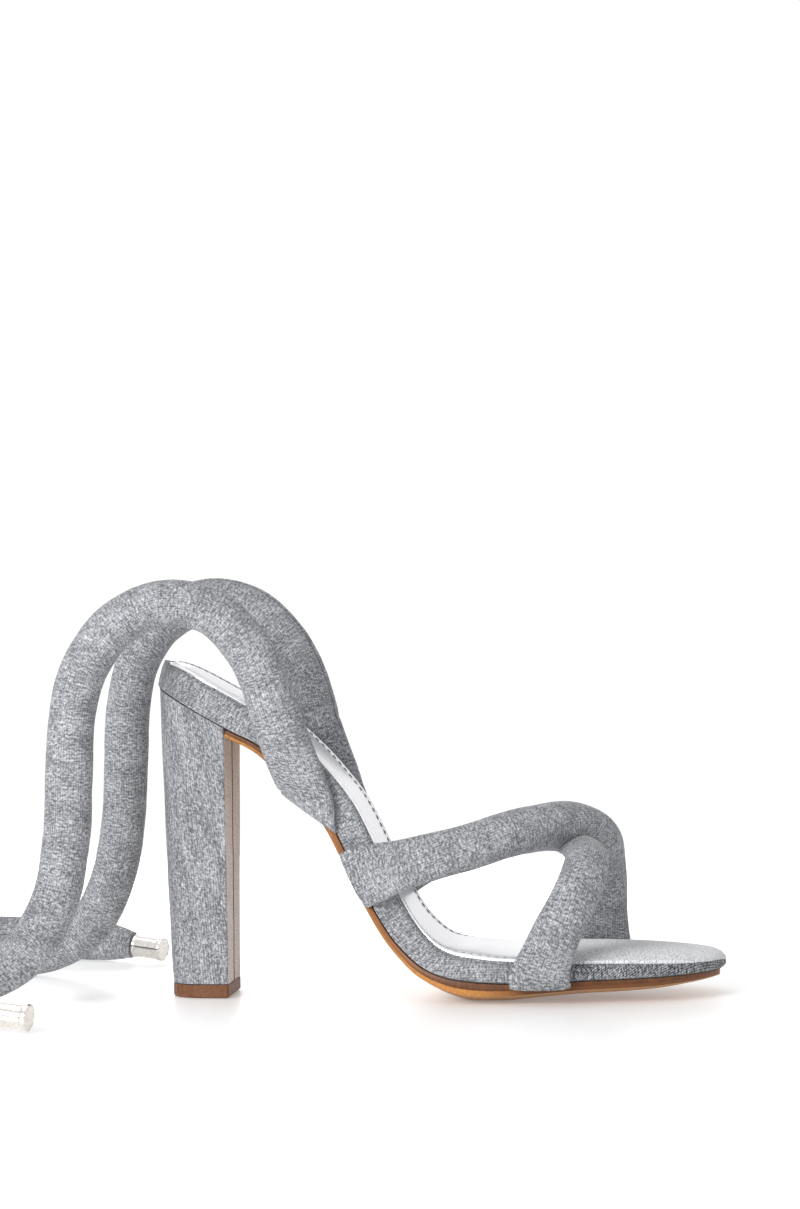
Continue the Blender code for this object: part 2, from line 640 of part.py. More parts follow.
def main():
    footbed = make_footbed(MADE_MATERIALS["jersey"])
    outsole = make_outsole(MADE_MATERIALS["outsole"])
    make_insole(MADE_MATERIALS["sock"])
    make_heel(MADE_MATERIALS["jersey"])
    make_top_lift(MADE_MATERIALS["top_lift"])
    _, over, under = make_upper(MADE_MATERIALS["jersey"])
    lateral = root_rings(LATERAL_ROOT_ALONG, LATERAL)
    medial = root_rings(MEDIAL_ROOT_ALONG, MEDIAL)
    strap_solid("tie_root_lateral", lateral, MADE_MATERIALS["jersey"])
    strap_solid("tie_root_medial", medial, MADE_MATERIALS["jersey"])
    cutters = [
        pocket_cutter("pocket_upper_lateral", over, False),
        pocket_cutter("pocket_upper_medial", over, True),
        pocket_cutter("pocket_lower_lateral", under, False),
        pocket_cutter("pocket_lower_medial", under, True),
    ]
    for target in (footbed, outsole):
        for cutter in cutters:
            boolean(target, cutter, "DIFFERENCE")
    jersey, nickel = MADE_MATERIALS["jersey"], MADE_MATERIALS["nickel"]
    make_tie("tie_lateral", LATERAL_ROUTE, lateral, jersey, nickel)
    make_tie("tie_medial", MEDIAL_ROUTE, medial, jersey, nickel)


clear_scene()
COLLECTIONS = {}
for collection_name in ("sandal", "cutters"):
    COLLECTIONS[collection_name] = bpy.data.collections.new(collection_name)
    bpy.context.scene.collection.children.link(COLLECTIONS[collection_name])
MADE_MATERIALS = make_materials()
main()
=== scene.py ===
"""Looks of a right-foot lace-up sandal in grey jersey: knitted fabric on sole, heel, padded straps and
ties, a silver sock with its stitching, a two-tone brown outsole and nickel tips.

Metres, +Z up, +X to the toe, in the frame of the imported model. Lengths in MM are real sizes.
"""

from bisect import bisect_right
from collections import namedtuple
from math import copysign, cos, pi, radians, sin, sqrt, tan

import bpy
from mathutils import Matrix, Vector, noise


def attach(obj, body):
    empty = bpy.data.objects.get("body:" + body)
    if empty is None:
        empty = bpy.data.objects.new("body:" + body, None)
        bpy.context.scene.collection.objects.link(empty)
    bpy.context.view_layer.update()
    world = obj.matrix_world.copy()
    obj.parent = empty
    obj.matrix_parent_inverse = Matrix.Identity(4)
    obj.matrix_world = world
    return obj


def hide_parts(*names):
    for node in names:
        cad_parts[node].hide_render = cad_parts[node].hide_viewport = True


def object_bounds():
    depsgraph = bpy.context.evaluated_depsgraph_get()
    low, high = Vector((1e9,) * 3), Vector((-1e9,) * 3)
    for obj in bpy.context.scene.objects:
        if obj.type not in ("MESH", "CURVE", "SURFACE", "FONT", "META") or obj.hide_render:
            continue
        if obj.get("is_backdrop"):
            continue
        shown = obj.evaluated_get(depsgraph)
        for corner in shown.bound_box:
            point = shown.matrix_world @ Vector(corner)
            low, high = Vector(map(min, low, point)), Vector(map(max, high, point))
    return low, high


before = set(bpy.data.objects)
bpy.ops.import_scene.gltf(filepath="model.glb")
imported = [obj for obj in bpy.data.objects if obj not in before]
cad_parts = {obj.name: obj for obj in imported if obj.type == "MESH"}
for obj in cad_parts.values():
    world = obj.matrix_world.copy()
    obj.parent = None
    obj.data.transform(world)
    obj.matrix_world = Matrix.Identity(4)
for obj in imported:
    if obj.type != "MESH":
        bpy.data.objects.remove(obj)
cad_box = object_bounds()

MM = 0.001
GAP = 0.3 * MM
LATERAL, MEDIAL = -1, 1

# Sizes of the model's pieces
SOLE_LENGTH = 208.8 * MM
HEEL_HEIGHT = 115.1 * MM
HEEL_BACK = 16.8 * MM
BALL_WIDTH = 78.0 * MM
SEAT_WIDTH = 49.6 * MM
BALL_LINE = 7.8 * MM
TOE_SPRING = 2.8 * MM
EDGE_LIFT = 3.3 * MM
FOOTBED_WALL = 10.4 * MM
FOOTBED_CROWN = 3.8 * MM
WALL_BULGE = 0.06
PILLOW_POWER = 3.6
EDGE_ROLL = 2.2 * MM
OUTSOLE_THICKNESS = 4.6 * MM
OUTSOLE_INSET = 0.9 * MM
OUTSOLE_TIP_INSET = 2.4 * MM
OUTSOLE_TUCK = 1.8 * MM
FLOOR_SNAP = 0.6 * MM
SOCK_THICKNESS = 0.9 * MM
SOCK_RIM = 2.6 * MM
SOCK_FRONT = 0.717
BACK_ROUND = 20.0 * MM
TOE_ROUND = 30.0 * MM
BACK_POWER, TOE_POWER = 2.2, 2.3
LEAST_SHARE = 0.012  # keeps a round end from closing to a point
SAG_FLAT = 0.35  # share of the half width over which the underside hangs level
HEEL_FRONT = 10.1 * MM
HEEL_DEPTH = 22.4 * MM
HEEL_SETBACK = 0.4 * MM
HEEL_CORNER = 0.7 * MM
HEEL_WIDTH = 32.0 * MM
HEEL_TOP_WIDTH = 43.0 * MM
TOP_LIFT_HEIGHT = 4.8 * MM
STRAP_WIDTH = 16.6 * MM
INSTEP_HEIGHT = 63.0 * MM
FOOT_WIDTH = 22.0 * MM
TIE_DIAMETER = 17.0 * MM
TIP_DIAMETER = 9.5 * MM
TIP_LENGTH = 13.5 * MM
TIE_STRAIGHT = 6.0 * MM
TIE_GATHER = 22.0 * MM
PLAIN_END = 5.0 * MM  # length over which a tie's unevenness fades at its root
SEAM_SIDE = radians(200)  # where the sewn seam runs along a tie, round its section
SEAM_DEPTH = 0.45 * MM
SEAM_NARROW = 160  # power that narrows the seam's groove
GATHER_DEPTH = 0.35 * MM  # of the pleats where a tie is gathered into its tip
PLEATS = 9
TIE_SIDES = 72
TIE_RINGS = 420
TIE_LUMP = 0.40 * MM  # unevenness of its padding, and of the cloth over it
TIE_RIPPLE = 0.14 * MM
ROOT_CLEARANCE = 0.35 * MM  # from the sole's wall to a root's inner face
ROOT_REACH = 0.026
LATERAL_ROOT_ALONG = 0.2816
MEDIAL_ROOT_ALONG = 0.329
UPPER_STRAP_FEET = (0.366, 0.777)
LOWER_STRAP_FEET = (0.684, 0.392)

# The sole's sections, as in the model: shares of the sizes above, lean in degrees
SOLE_COLUMNS = "along rise spring lean wall outsole lift crown centre spread".split()
SOLE = [
    (0.000, 1.000, 0.00, 14.0, 0.78, 0.60, 0.00, 0.34, 0.000, 0.00),
    (0.033, 0.964, 0.00, 20.0, 0.96, 0.60, 0.00, 0.40, 0.000, 0.00),
    (0.090, 0.900, 0.00, 27.0, 1.00, 0.60, 0.00, 0.40, 0.000, 0.00),
    (0.143, 0.843, 0.00, 29.5, 1.00, 0.60, 0.00, 0.37, -0.002, 0.02),
    (0.195, 0.790, 0.00, 32.0, 1.00, 0.65, 0.00, 0.30, -0.005, 0.02),
    (0.243, 0.703, 0.00, 40.0, 1.05, 0.67, 0.00, 0.20, -0.008, 0.02),
    (0.284, 0.615, 0.00, 48.0, 1.05, 0.67, 0.00, 0.14, -0.013, 0.02),
    (0.318, 0.533, 0.00, 56.0, 1.00, 0.63, 0.00, 0.14, -0.019, 0.04),
    (0.344, 0.435, 0.00, 62.0, 0.99, 0.59, 0.00, 0.14, -0.025, 0.07),
    (0.368, 0.335, 0.00, 64.0, 0.99, 0.57, 0.00, 0.14, -0.030, 0.11),
    (0.393, 0.243, 0.00, 62.0, 0.98, 0.57, 0.00, 0.14, -0.032, 0.16),
    (0.420, 0.158, 0.00, 57.0, 0.94, 0.59, 0.00, 0.20, -0.031, 0.24),
    (0.447, 0.098, 0.00, 47.0, 0.89, 0.65, 0.10, 0.32, -0.028, 0.36),
    (0.478, 0.049, 0.00, 36.0, 0.84, 0.78, 0.35, 0.48, -0.023, 0.53),
    (0.514, 0.020, 0.00, 24.0, 0.78, 0.93, 0.70, 0.75, -0.018, 0.70),
    (0.559, 0.006, 0.00, 12.0, 0.73, 1.13, 1.00, 0.95, -0.013, 0.87),
    (0.617, 0.000, 0.00, 4.0, 0.66, 1.02, 1.00, 1.00, -0.006, 0.98),
    (0.679, 0.000, 0.04, 0.0, 0.63, 0.83, 1.00, 1.00, 0.000, 1.00),
    (0.751, 0.000, 0.29, -1.0, 0.58, 0.72, 1.00, 1.05, 0.004, 0.95),
    (0.823, 0.000, 0.42, -1.0, 0.53, 0.69, 0.95, 1.05, 0.012, 0.80),
    (0.885, 0.000, 0.54, -1.0, 0.46, 0.67, 0.80, 1.00, 0.028, 0.62),
    (0.933, 0.000, 0.67, -1.0, 0.38, 0.58, 0.62, 0.92, 0.046, 0.48),
    (0.971, 0.000, 0.80, -2.0, 0.33, 0.50, 0.44, 0.72, 0.064, 0.38),
    (1.000, 0.000, 1.00, -3.0, 0.26, 0.42, 0.30, 0.36, 0.077, 0.32),
]

# The straps' free stretches, from the outer side's foot to the inner side's: along of SOLE_LENGTH,
# across of half BALL_WIDTH, height of the rise from the strap's feet to INSTEP_HEIGHT, width and
# thick of STRAP_WIDTH
UPPER_STRAP = [
    (0.440, -0.860, 0.281, 1.24, 0.60),
    (0.492, -0.872, 0.527, 1.11, 0.80),
    (0.550, -0.820, 0.709, 1.01, 0.96),
    (0.612, -0.680, 0.877, 1.00, 1.00),
    (0.670, -0.436, 0.969, 1.00, 1.00),
    (0.715, -0.154, 0.995, 1.00, 1.00),
    (0.753, 0.154, 0.945, 1.00, 1.00),
    (0.776, 0.436, 0.841, 1.00, 1.00),
    (0.781, 0.680, 0.692, 1.00, 0.98),
    (0.783, 0.885, 0.484, 1.02, 0.92),
    (0.781, 1.010, 0.286, 1.06, 0.76),
]
LOWER_STRAP = [
    (0.696, -1.085, 0.170, 1.14, 0.62),
    (0.715, -1.090, 0.309, 1.05, 0.82),
    (0.737, -1.025, 0.457, 1.00, 0.96),
    (0.755, -0.885, 0.597, 1.00, 1.00),
    (0.762, -0.667, 0.703, 0.98, 0.88),
    (0.759, -0.423, 0.757, 0.92, 0.68),
    (0.742, -0.154, 0.802, 0.86, 0.52),
    (0.704, 0.115, 0.841, 0.90, 0.56),
    (0.645, 0.359, 0.845, 0.98, 0.76),
    (0.579, 0.590, 0.754, 1.00, 0.84),
    (0.518, 0.780, 0.629, 1.02, 0.86),
    (0.466, 0.850, 0.505, 1.10, 0.74),
    (0.429, 0.822, 0.356, 1.28, 0.52),
]
# A strap's foot from its hidden end outwards, and a tie's root from its closed end upwards, in
# shares of STRAP_WIDTH or TIE_DIAMETER; width of FOOT_WIDTH, turn and skew in degrees
Foot = namedtuple("Foot", "out up turn width thick square")
STRAP_FOOT = [
    Foot(-0.360, 0.006, -90.0, 0.94, 0.133, 2.54),
    Foot(-0.113, -0.020, -90.0, 0.97, 0.145, 2.45),
    Foot(0.102, -0.076, -45.0, 1.00, 0.181, 2.36),
    Foot(0.193, 0.115, 0.0, 1.00, 0.277, 2.27),
]
INNER_FOOT_WIDTH = 0.80  # width of the lower strap's inner foot, as a share of the others'
Root = namedtuple("Root", "back up width thick skew")
TIE_ROOT = [
    Root(0.00, -0.35, 1.05, 0.16, -44.0),
    Root(0.05, -0.02, 1.08, 0.36, -33.0),
    Root(0.18, 0.41, 1.09, 0.52, -27.0),
    Root(0.35, 0.90, 1.07, 0.70, -20.0),
    Root(0.54, 1.44, 1.08, 0.88, -10.0),
    Root(0.71, 1.95, 1.04, 1.00, 0.0),
]

# Routes of the ties' middle lines in millimetres, as in the model
LATERAL_ROUTE = [
    (26.8, -36.3, 117), (21, -37.8, 129.5), (8.5, -39.5, 142), (-9, -41.5, 145), (-26, -43, 137),
    (-37, -44.5, 122), (-41.5, -46, 103), (-42.5, -47, 82), (-43.5, -48, 61), (-48, -49.5, 38),
    (-60, -51, 18.5), (-80, -52, 9.4), (-110, -52, 8.7), (-155, -59, 8.7), (-208, -66, 8.7),
    (-262, -60, 8.7), (-314, -56, 8.7), (-356, -74, 8.7), (-362, -112, 8.7), (-326, -136, 8.7),
    (-274, -133, 8.7), (-214, -117, 8.7), (-155, -107, 8.7), (-110, -110, 8.7), (-80, -117, 8.7),
    (-64, -121, 7.6), (-55, -123, 6.7),
]
MEDIAL_ROUTE = [
    (37, 36.3, 104.5), (32.5, 37.5, 118), (24.5, 38.5, 132), (11, 40, 143.5), (-6, 41.5, 146),
    (-22, 43, 138.5), (-32.5, 44.5, 124), (-37, 46.5, 105), (-38.5, 48.5, 84), (-40, 50.5, 62),
    (-44.5, 53, 40), (-56, 58, 19.5), (-75, 64, 9.6), (-105, 72, 8.7), (-150, 80, 8.7),
    (-203, 82, 8.7), (-255, 74, 8.7), (-307, 73, 8.7), (-347, 92, 8.7), (-351, 129, 8.7),
    (-315, 153, 8.7), (-263, 151, 8.7), (-203, 139, 8.7), (-147, 133, 8.7), (-100, 134, 8.7),
    (-72, 129, 8.7), (-57, 123.5, 7.6), (-48.5, 120.5, 6.7),
]

# Camera, worked out from the photo's heel, sock rim and floor line
CAMERA_PLACE = (0.197894, -1.294015, 0.140)
CAMERA_SWING = 5.5  # degrees towards the toe
CAMERA_PITCH = 0.1726  # degrees upwards
CAMERA_ROLL = 0.6  # degrees, right side of the frame up
CAMERA_LENS = 158.1
CAMERA_SENSOR = 36.0


# Shared geometry


def smooth_value(places, values, at):
    """Cubic curve through values at rising places."""
    last = len(places) - 1
    k = min(max(bisect_right(places, at) - 1, 0), last - 1)
    before, after = max(k - 1, 0), min(k + 2, last)
    step = places[k + 1] - places[k]
    t = (at - places[k]) / step
    slope_a = (values[k + 1] - values[before]) / (places[k + 1] - places[before]) * step
    slope_b = (values[after] - values[k]) / (places[after] - places[k]) * step
    return (
        values[k] * (2 * t**3 - 3 * t**2 + 1)
        + slope_a * (t**3 - 2 * t**2 + t)
        + values[k + 1] * (3 * t**2 - 2 * t**3)
        + slope_b * (t**3 - t**2)
    )


def distances(points):
    """How far along the line each of its points lies."""
    out = [0.0]
    for a, b in zip(points, points[1:]):
        out.append(out[-1] + (b - a).length)
    return out


def point_at(points, lengths, at):
    """The line's point at a distance from its start."""
    low = min(max(bisect_right(lengths, at) - 1, 0), len(points) - 2)
    share = (at - lengths[low]) / (lengths[low + 1] - lengths[low])
    return points[low].lerp(points[low + 1], share)


def smooth_path(points, count):
    """Evenly spaced points read from one smooth curve through the given ones, and its length."""
    places = [0.0]
    for a, b in zip(points, points[1:]):
        places.append(places[-1] + sqrt((b - a).length))
    fine = 12 * len(points)
    columns = list(zip(*points))
    dense = []
    for k in range(fine + 1):
        at = places[-1] * k / fine
        dense.append(Vector([smooth_value(places, column, at) for column in columns]))
    lengths = distances(dense)
    out = [point_at(dense, lengths, lengths[-1] * k / (count - 1)) for k in range(count)]
    return out, lengths[-1]


def rounded(share, power):
    """1 inside an outline, falling to almost 0 in its round end as share goes from 1 to 0."""
    if share >= 1:
        return 1.0
    return (1 - (1 - max(share, LEAST_SHARE)) ** power) ** (1 / power)


class SoleSection:
    """One cross-section of the sole, as in the model."""

    columns = dict(zip(SOLE_COLUMNS, zip(*SOLE)))

    def __init__(self, along):
        places = self.columns["along"]
        share = {name: smooth_value(places, self.columns[name], along) for name in SOLE_COLUMNS}
        self.x = along * SOLE_LENGTH - HEEL_BACK
        self.z = BALL_LINE + share["rise"] * (HEEL_HEIGHT - BALL_LINE) + share["spring"] * TOE_SPRING
        lean = radians(share["lean"])
        self.wall = share["wall"] * FOOTBED_WALL
        self.outsole = share["outsole"] * OUTSOLE_THICKNESS
        self.lift = share["lift"] * EDGE_LIFT
        self.crown = share["crown"] * FOOTBED_CROWN
        self.centre = share["centre"] * BALL_WIDTH
        full = (SEAT_WIDTH + share["spread"] * (BALL_WIDTH - SEAT_WIDTH)) / 2
        from_back = along * SOLE_LENGTH
        from_tip = (1 - along) * SOLE_LENGTH
        full *= rounded(from_back / BACK_ROUND, BACK_POWER)
        self.half = full * rounded(from_tip / TOE_ROUND, TOE_POWER)
        self.up = Vector((sin(lean), 0, cos(lean)))

    def point(self, side, height):
        """A point of the section: side from its middle, height from its edge line."""
        return Vector((self.x, self.centre + side, self.z)) + self.up * height

    def sag(self, share):
        """How far the underside hangs below the edge line, from 0 in the middle to 1 at an edge."""
        return self.lift * (1 - max(0.0, (share - SAG_FLAT) / (1 - SAG_FLAT)) ** 2)

    def top(self, share):
        """Height of the footbed's finished top above the edge line."""
        return self.wall + self.crown * (1 - min(share, 1.0) ** PILLOW_POWER)


def stations(start, end, count):
    """Shares of the sole's length, evenly spaced but closer in the round ends."""
    back = BACK_ROUND / SOLE_LENGTH
    toe = TOE_ROUND / SOLE_LENGTH
    back_steps, toe_steps = 16, 20
    closest = 0.0004
    places = [back * (1 - cos(pi / 2 * k / back_steps)) for k in range(back_steps + 1)]
    places += [1 - toe * (1 - cos(pi / 2 * k / toe_steps)) for k in range(toe_steps + 1)]
    places += [back + (1 - toe - back) * k / count for k in range(1, count)]
    inside = sorted(place for place in places if start + closest < place < end - closest)
    return [start] + inside + [end]


def make_piece(name, vertices, faces, materials, corner_uv=None, face_slots=None, sharp=55.0):
    """A mesh object with smooth faces, its map in metres and its materials, named as in LOOKS."""
    data = bpy.data.meshes.new(name)
    data.from_pydata([tuple(v) for v in vertices], [], faces)
    if corner_uv is not None:
        layer = data.uv_layers.new(name="metres")
        layer.data.foreach_set("uv", [value for pair in corner_uv for value in pair])
    for label in materials:
        data.materials.append(LOOKS[label])
    if face_slots is not None:
        data.polygons.foreach_set("material_index", face_slots)
    data.shade_smooth()
    data.set_sharp_from_angle(angle=radians(sharp))
    data.validate()
    piece = bpy.data.objects.new(name, data)
    bpy.context.scene.collection.objects.link(piece)
    return piece


def loft(name, rings, materials, slot_of=None, sharp=55.0):
    """A closed solid through dense rings. The map's U runs round a ring, its V along the piece."""
    count = len(rings[0])
    vertices = [point for ring in rings for point in ring]
    around = []
    for ring in rings:
        line = [0.0]
        for i in range(count):
            line.append(line[-1] + (ring[(i + 1) % count] - ring[i]).length)
        around.append([value - line[-1] / 2 for value in line])
    along = [0.0]
    for low, high in zip(rings, rings[1:]):
        spans = [(high[i] - low[i]).length for i in range(0, count, 4)]
        along.append(along[-1] + sum(spans) / len(spans))
    faces, corner_uv, slots = [], [], []
    for k in range(len(rings) - 1):
        for i in range(count):
            j = (i + 1) % count
            low, high = k * count, (k + 1) * count
            faces.append((low + i, low + j, high + j, high + i))
            for row, step in ((k, i), (k, i + 1), (k + 1, i + 1), (k + 1, i)):
                corner_uv.append((around[row][step], along[row]))
            slots.append(slot_of(k, i) if slot_of else 0)
    for k, ring in ((0, rings[0]), (len(rings) - 1, rings[-1])):
        order = list(range(count)) if k else list(reversed(range(count)))
        middle = sum(ring, Vector()) / count
        vertices.append(middle)
        hub = len(vertices) - 1
        for a, b in zip(order, order[1:] + order[:1]):
            faces.append((hub, k * count + a, k * count + b))
            for corner in (middle, ring[a], ring[b]):
                corner_uv.append((corner.x + corner.y, corner.z))
            slots.append(slot_of(min(k, len(rings) - 2), a) if slot_of else 0)
    return make_piece(name, vertices, faces, materials, corner_uv, slots, sharp)


def mirrored(section, half_ring):
    """A whole ring from its half, whose rows are side in metres and height."""
    right = [section.point(side, height) for side, height in half_ring]
    left = [section.point(-side, height) for side, height in half_ring[1:-1]]
    return right + left[::-1]


# Materials

LOOKS = {}


class Graph:
    """Short helpers that add nodes to a material."""

    def __init__(self, name, roughness, metallic=0.0, **values):
        self.material = bpy.data.materials.new(name)
        self.material.use_nodes = True
        self.tree = self.material.node_tree
        self.shader = self.tree.nodes["Principled BSDF"]
        self.shader.inputs["Roughness"].default_value = roughness
        self.shader.inputs["Metallic"].default_value = metallic
        for label, value in values.items():
            self.shader.inputs[label.replace("_", " ")].default_value = value

    def add(self, kind, **settings):
        node = self.tree.nodes.new(kind)
        for label, value in settings.items():
            setattr(node, label, value)
        return node

    def link(self, source, target):
        self.tree.links.new(source, target)

    def put(self, node, label, value):
        """Sets a socket, or links it when the value is another socket."""
        socket = node.inputs[label]
        if isinstance(value, bpy.types.NodeSocket):
            self.link(value, socket)
        else:
            socket.default_value = value

    def math(self, operation, a, b=0.0):
        node = self.add("ShaderNodeMath", operation=operation)
        self.put(node, 0, a)
        self.put(node, 1, b)
        return node.outputs[0]

    def map_mm(self, stretch=(1.0, 1.0), source="UV"):
        """The map's coordinates in millimetres, stretched in U and V."""
        place = self.add("ShaderNodeTexCoord").outputs[source]
        node = self.add("ShaderNodeMapping")
        self.link(place, node.inputs["Vector"])
        node.inputs["Scale"].default_value = (1000 * stretch[0], 1000 * stretch[1], 1000)
        return node.outputs["Vector"]

    def noise(self, place, scale, detail=2.0, roughness=0.5):
        node = self.add("ShaderNodeTexNoise")
        self.link(place, node.inputs["Vector"])
        node.inputs["Scale"].default_value = scale
        node.inputs["Detail"].default_value = detail
        node.inputs["Roughness"].default_value = roughness
        return node.outputs["Fac"]

    def ramp(self, value, stops):
        node = self.add("ShaderNodeValToRGB")
        self.link(value, node.inputs["Fac"])
        elements = node.color_ramp.elements
        while len(elements) < len(stops):
            elements.new(0.5)
        for element, (place, colour) in zip(elements, stops):
            element.position = place
            element.color = (*colour, 1.0)
        return node.outputs["Color"]

    def mix(self, share, a, b):
        """Colour a where share is 0 and colour b where it is 1. One of the two may be fixed."""
        node = self.add("ShaderNodeMix", data_type="RGBA")
        factor, first, second, mixed = 0, 6, 7, 2  # the node's sockets for colours
        self.put(node, factor, share)
        for socket, colour in ((first, a), (second, b)):
            self.put(node, socket, (*colour, 1.0) if isinstance(colour, tuple) else colour)
        return node.outputs[mixed]

    def bump(self, height, distance, strength):
        node = self.add("ShaderNodeBump")
        self.put(node, "Height", height)
        node.inputs["Distance"].default_value = distance
        node.inputs["Strength"].default_value = strength
        return node.outputs["Normal"]

    def finish(self, colour, normal=None):
        self.put(self.shader, "Base Color", colour)
        if normal is not None:
            self.link(normal, self.shader.inputs["Normal"])
        return self.material


WALE = 0.95  # millimetres from one column of loops to the next
FIBRE_SHARE, LOOP_SHARE, COLUMN_SHARE = 0.62, 0.28, 0.157  # in the tone of the knit
KNIT_DEPTH = 0.22 * MM


def jersey(name, dark, light, columns=0.12, twill=0.0, streaks=0.15, grain=(0.5, 1.5)):
    """Heather knit: mottled fibres in loops along V, fine columns, and cloudy lighter patches.

    columns is the depth of the columns of loops, twill their slant, streaks the share of the
    patches, and grain the stretch of loops and patches across and along the cloth.
    """
    graph = Graph(name, 0.92, Specular_IOR_Level=0.18, Sheen_Weight=0.22, Sheen_Roughness=0.45)
    fibres = graph.noise(graph.map_mm((0.8, 0.95)), 1.25, 4.0, 0.80)
    loops = graph.noise(graph.map_mm(grain), 0.95, 1.0)
    clouds = graph.noise(graph.map_mm((grain[0], 0.65 * grain[1])), 0.16, 2.0, 0.55)
    split = graph.add("ShaderNodeSeparateXYZ")
    graph.link(graph.map_mm(), split.inputs[0])
    turn = graph.math("MULTIPLY", split.outputs[0], 2 * pi / WALE)
    if twill:
        slant = graph.math("MULTIPLY", split.outputs[1], twill * 2 * pi / WALE)
        turn = graph.math("ADD", turn, slant)
    wave = graph.math("SINE", turn)
    tone = graph.math("MULTIPLY", fibres, FIBRE_SHARE)
    for part, share in ((loops, LOOP_SHARE), (clouds, streaks), (wave, COLUMN_SHARE * columns)):
        tone = graph.math("ADD", tone, graph.math("MULTIPLY", part, share))
    middle = 0.45 + 0.5 * streaks
    darkest = tuple(0.45 * value for value in dark)
    lightest = tuple(min(1.75 * value, 0.9) for value in light)
    stops = [(-0.15, darkest), (-0.04, dark), (0.04, light), (0.14, lightest)]
    colour = graph.ramp(tone, [(middle + shift, shade) for shift, shade in stops])
    height = graph.math("ADD", fibres, graph.math("MULTIPLY", wave, columns))
    return graph.finish(colour, graph.bump(height, KNIT_DEPTH, 0.8))


# Dark and light colour of each cloth, and where it differs columns, twill, streaks and grain
JERSEYS = {
    "jersey": ((0.175, 0.182, 0.195), (0.37, 0.38, 0.40)),
    "jersey_wall": ((0.165, 0.172, 0.184), (0.36, 0.37, 0.39)),
    "jersey_heel": ((0.170, 0.177, 0.190), (0.36, 0.37, 0.39), 0.12, 0.0, 0.18, (1.4, 0.55)),
    "jersey_toe": ((0.050, 0.052, 0.058), (0.315, 0.325, 0.345), 0.25, 0.9, 0.12),
    # Top of the toe: the same jersey painted much lighter, a painted sheen where the light grazes it
    "jersey_top_painted_sheen": ((0.62, 0.625, 0.65), (0.90, 0.905, 0.93), 0.1, 0.5, 0.10),
    # Heel breast: a warm tint of the cloth, painted much lighter as painted light on the face turned
    # to the toe
    "jersey_breast_tint_painted_light": ((0.66, 0.61, 0.595), (0.88, 0.83, 0.815), 0.3, 0.0, 0.1),
}
BROWN = ((0.085, 0.028, 0.009), (0.155, 0.058, 0.020))
ARCH_BROWN = (0.33, 0.125, 0.036)
# Dark and light colour and roughness
RUBBERS = {
    "outsole_edge": (*BROWN, 0.42),
    "outsole_stripe": ((0.40, 0.165, 0.042), (0.56, 0.25, 0.07), 0.42),
    "outsole_tan": ((0.34, 0.175, 0.075), (0.46, 0.25, 0.11), 0.55),
    "top_lift_rubber": ((0.120, 0.045, 0.018), (0.190, 0.078, 0.034), 0.50),
}
# At places along the sole: how far the stripe shows, and how far the edge is lighter
STRIPE_SHOWS = [
    (0.0, 0.9), (0.09, 0.8), (0.15, 0.50), (0.33, 0.55), (0.40, 1.0), (0.49, 1.0), (0.58, 0.0),
]
EDGE_LIGHTER = [(0.14, 0.1), (0.20, 0.6), (0.34, 0.6), (0.44, 0.0)]


def rubber(name, dark, light, roughness):
    """Rubber or painted edge with a long fine grain, changing along the outsole where it does."""
    graph = Graph(name, roughness, Specular_IOR_Level=0.3)
    place = graph.map_mm(source="Object")
    grain = graph.noise(graph.map_mm((1.0, 0.12), "Object"), 0.7, 4.0, 0.65)
    spots = graph.noise(place, 2.2, 2.0)
    colour = graph.ramp(grain, [(0.35, dark), (0.65, light)])
    changes = {"outsole_edge": EDGE_LIGHTER, "outsole_stripe": STRIPE_SHOWS}
    if name in changes:
        split = graph.add("ShaderNodeSeparateXYZ")
        graph.link(place, split.inputs[0])
        along = graph.math("DIVIDE", split.outputs[0], SOLE_LENGTH / MM)
        share = graph.ramp(along, [(at, (value,) * 3) for at, value in changes[name]])
        if name == "outsole_edge":
            colour = graph.mix(share, colour, ARCH_BROWN)
        else:
            colour = graph.mix(share, BROWN[1], colour)
    return graph.finish(colour, graph.bump(spots, 0.05 * MM, 0.5))


def make_materials():
    """Fills LOOKS."""
    for name, values in JERSEYS.items():
        LOOKS[name] = jersey(name, *values)
    for name, values in RUBBERS.items():
        LOOKS[name] = rubber(name, *values)

    # Dark thread of the seams, also used as painted shade at the bottom of the sock's piping groove
    seam = Graph("seam_thread_and_groove_shade", 0.85)
    grain = seam.noise(seam.map_mm(), 2.0)
    tint = seam.ramp(grain, [(0.3, (0.05, 0.052, 0.058)), (0.7, (0.12, 0.125, 0.135))])
    LOOKS["seam"] = seam.finish(tint)

    sock = Graph("silver_sock", 0.26, 0.50, Coat_Weight=0.15, Coat_Roughness=0.12)
    pores = sock.noise(sock.map_mm(), 1.6, 3.0, 0.6)
    pebble = sock.noise(sock.map_mm(), 0.12)
    tint = sock.ramp(pebble, [(0.3, (0.92, 0.92, 0.96)), (0.7, (0.97, 0.97, 0.99))])
    LOOKS["sock"] = sock.finish(tint, sock.bump(pores, 0.03 * MM, 0.5))

    piping = Graph("sock_piping", 0.24, 0.6)
    shine = piping.noise(piping.map_mm(), 0.5)
    tint = piping.ramp(shine, [(0.3, (0.80, 0.80, 0.83)), (0.7, (0.93, 0.93, 0.95))])
    LOOKS["piping"] = piping.finish(tint, piping.bump(shine, 0.03 * MM, 0.3))

    thread = Graph("sock_thread", 0.7)
    twist = thread.noise(thread.map_mm(source="Object"), 2.5, 1.0)
    tint = thread.ramp(twist, [(0.3, (0.13, 0.135, 0.16)), (0.7, (0.24, 0.25, 0.29))])
    LOOKS["thread"] = thread.finish(tint)

    nickel = Graph("polished_nickel", 0.11, 1.0)
    brushed = nickel.noise(nickel.map_mm((1.0, 0.06), "Object"), 1.2)
    tint = nickel.ramp(brushed, [(0.3, (0.62, 0.59, 0.55)), (0.7, (0.76, 0.735, 0.70))])
    LOOKS["nickel"] = nickel.finish(tint, nickel.bump(brushed, 0.02 * MM, 0.25))


# Camera


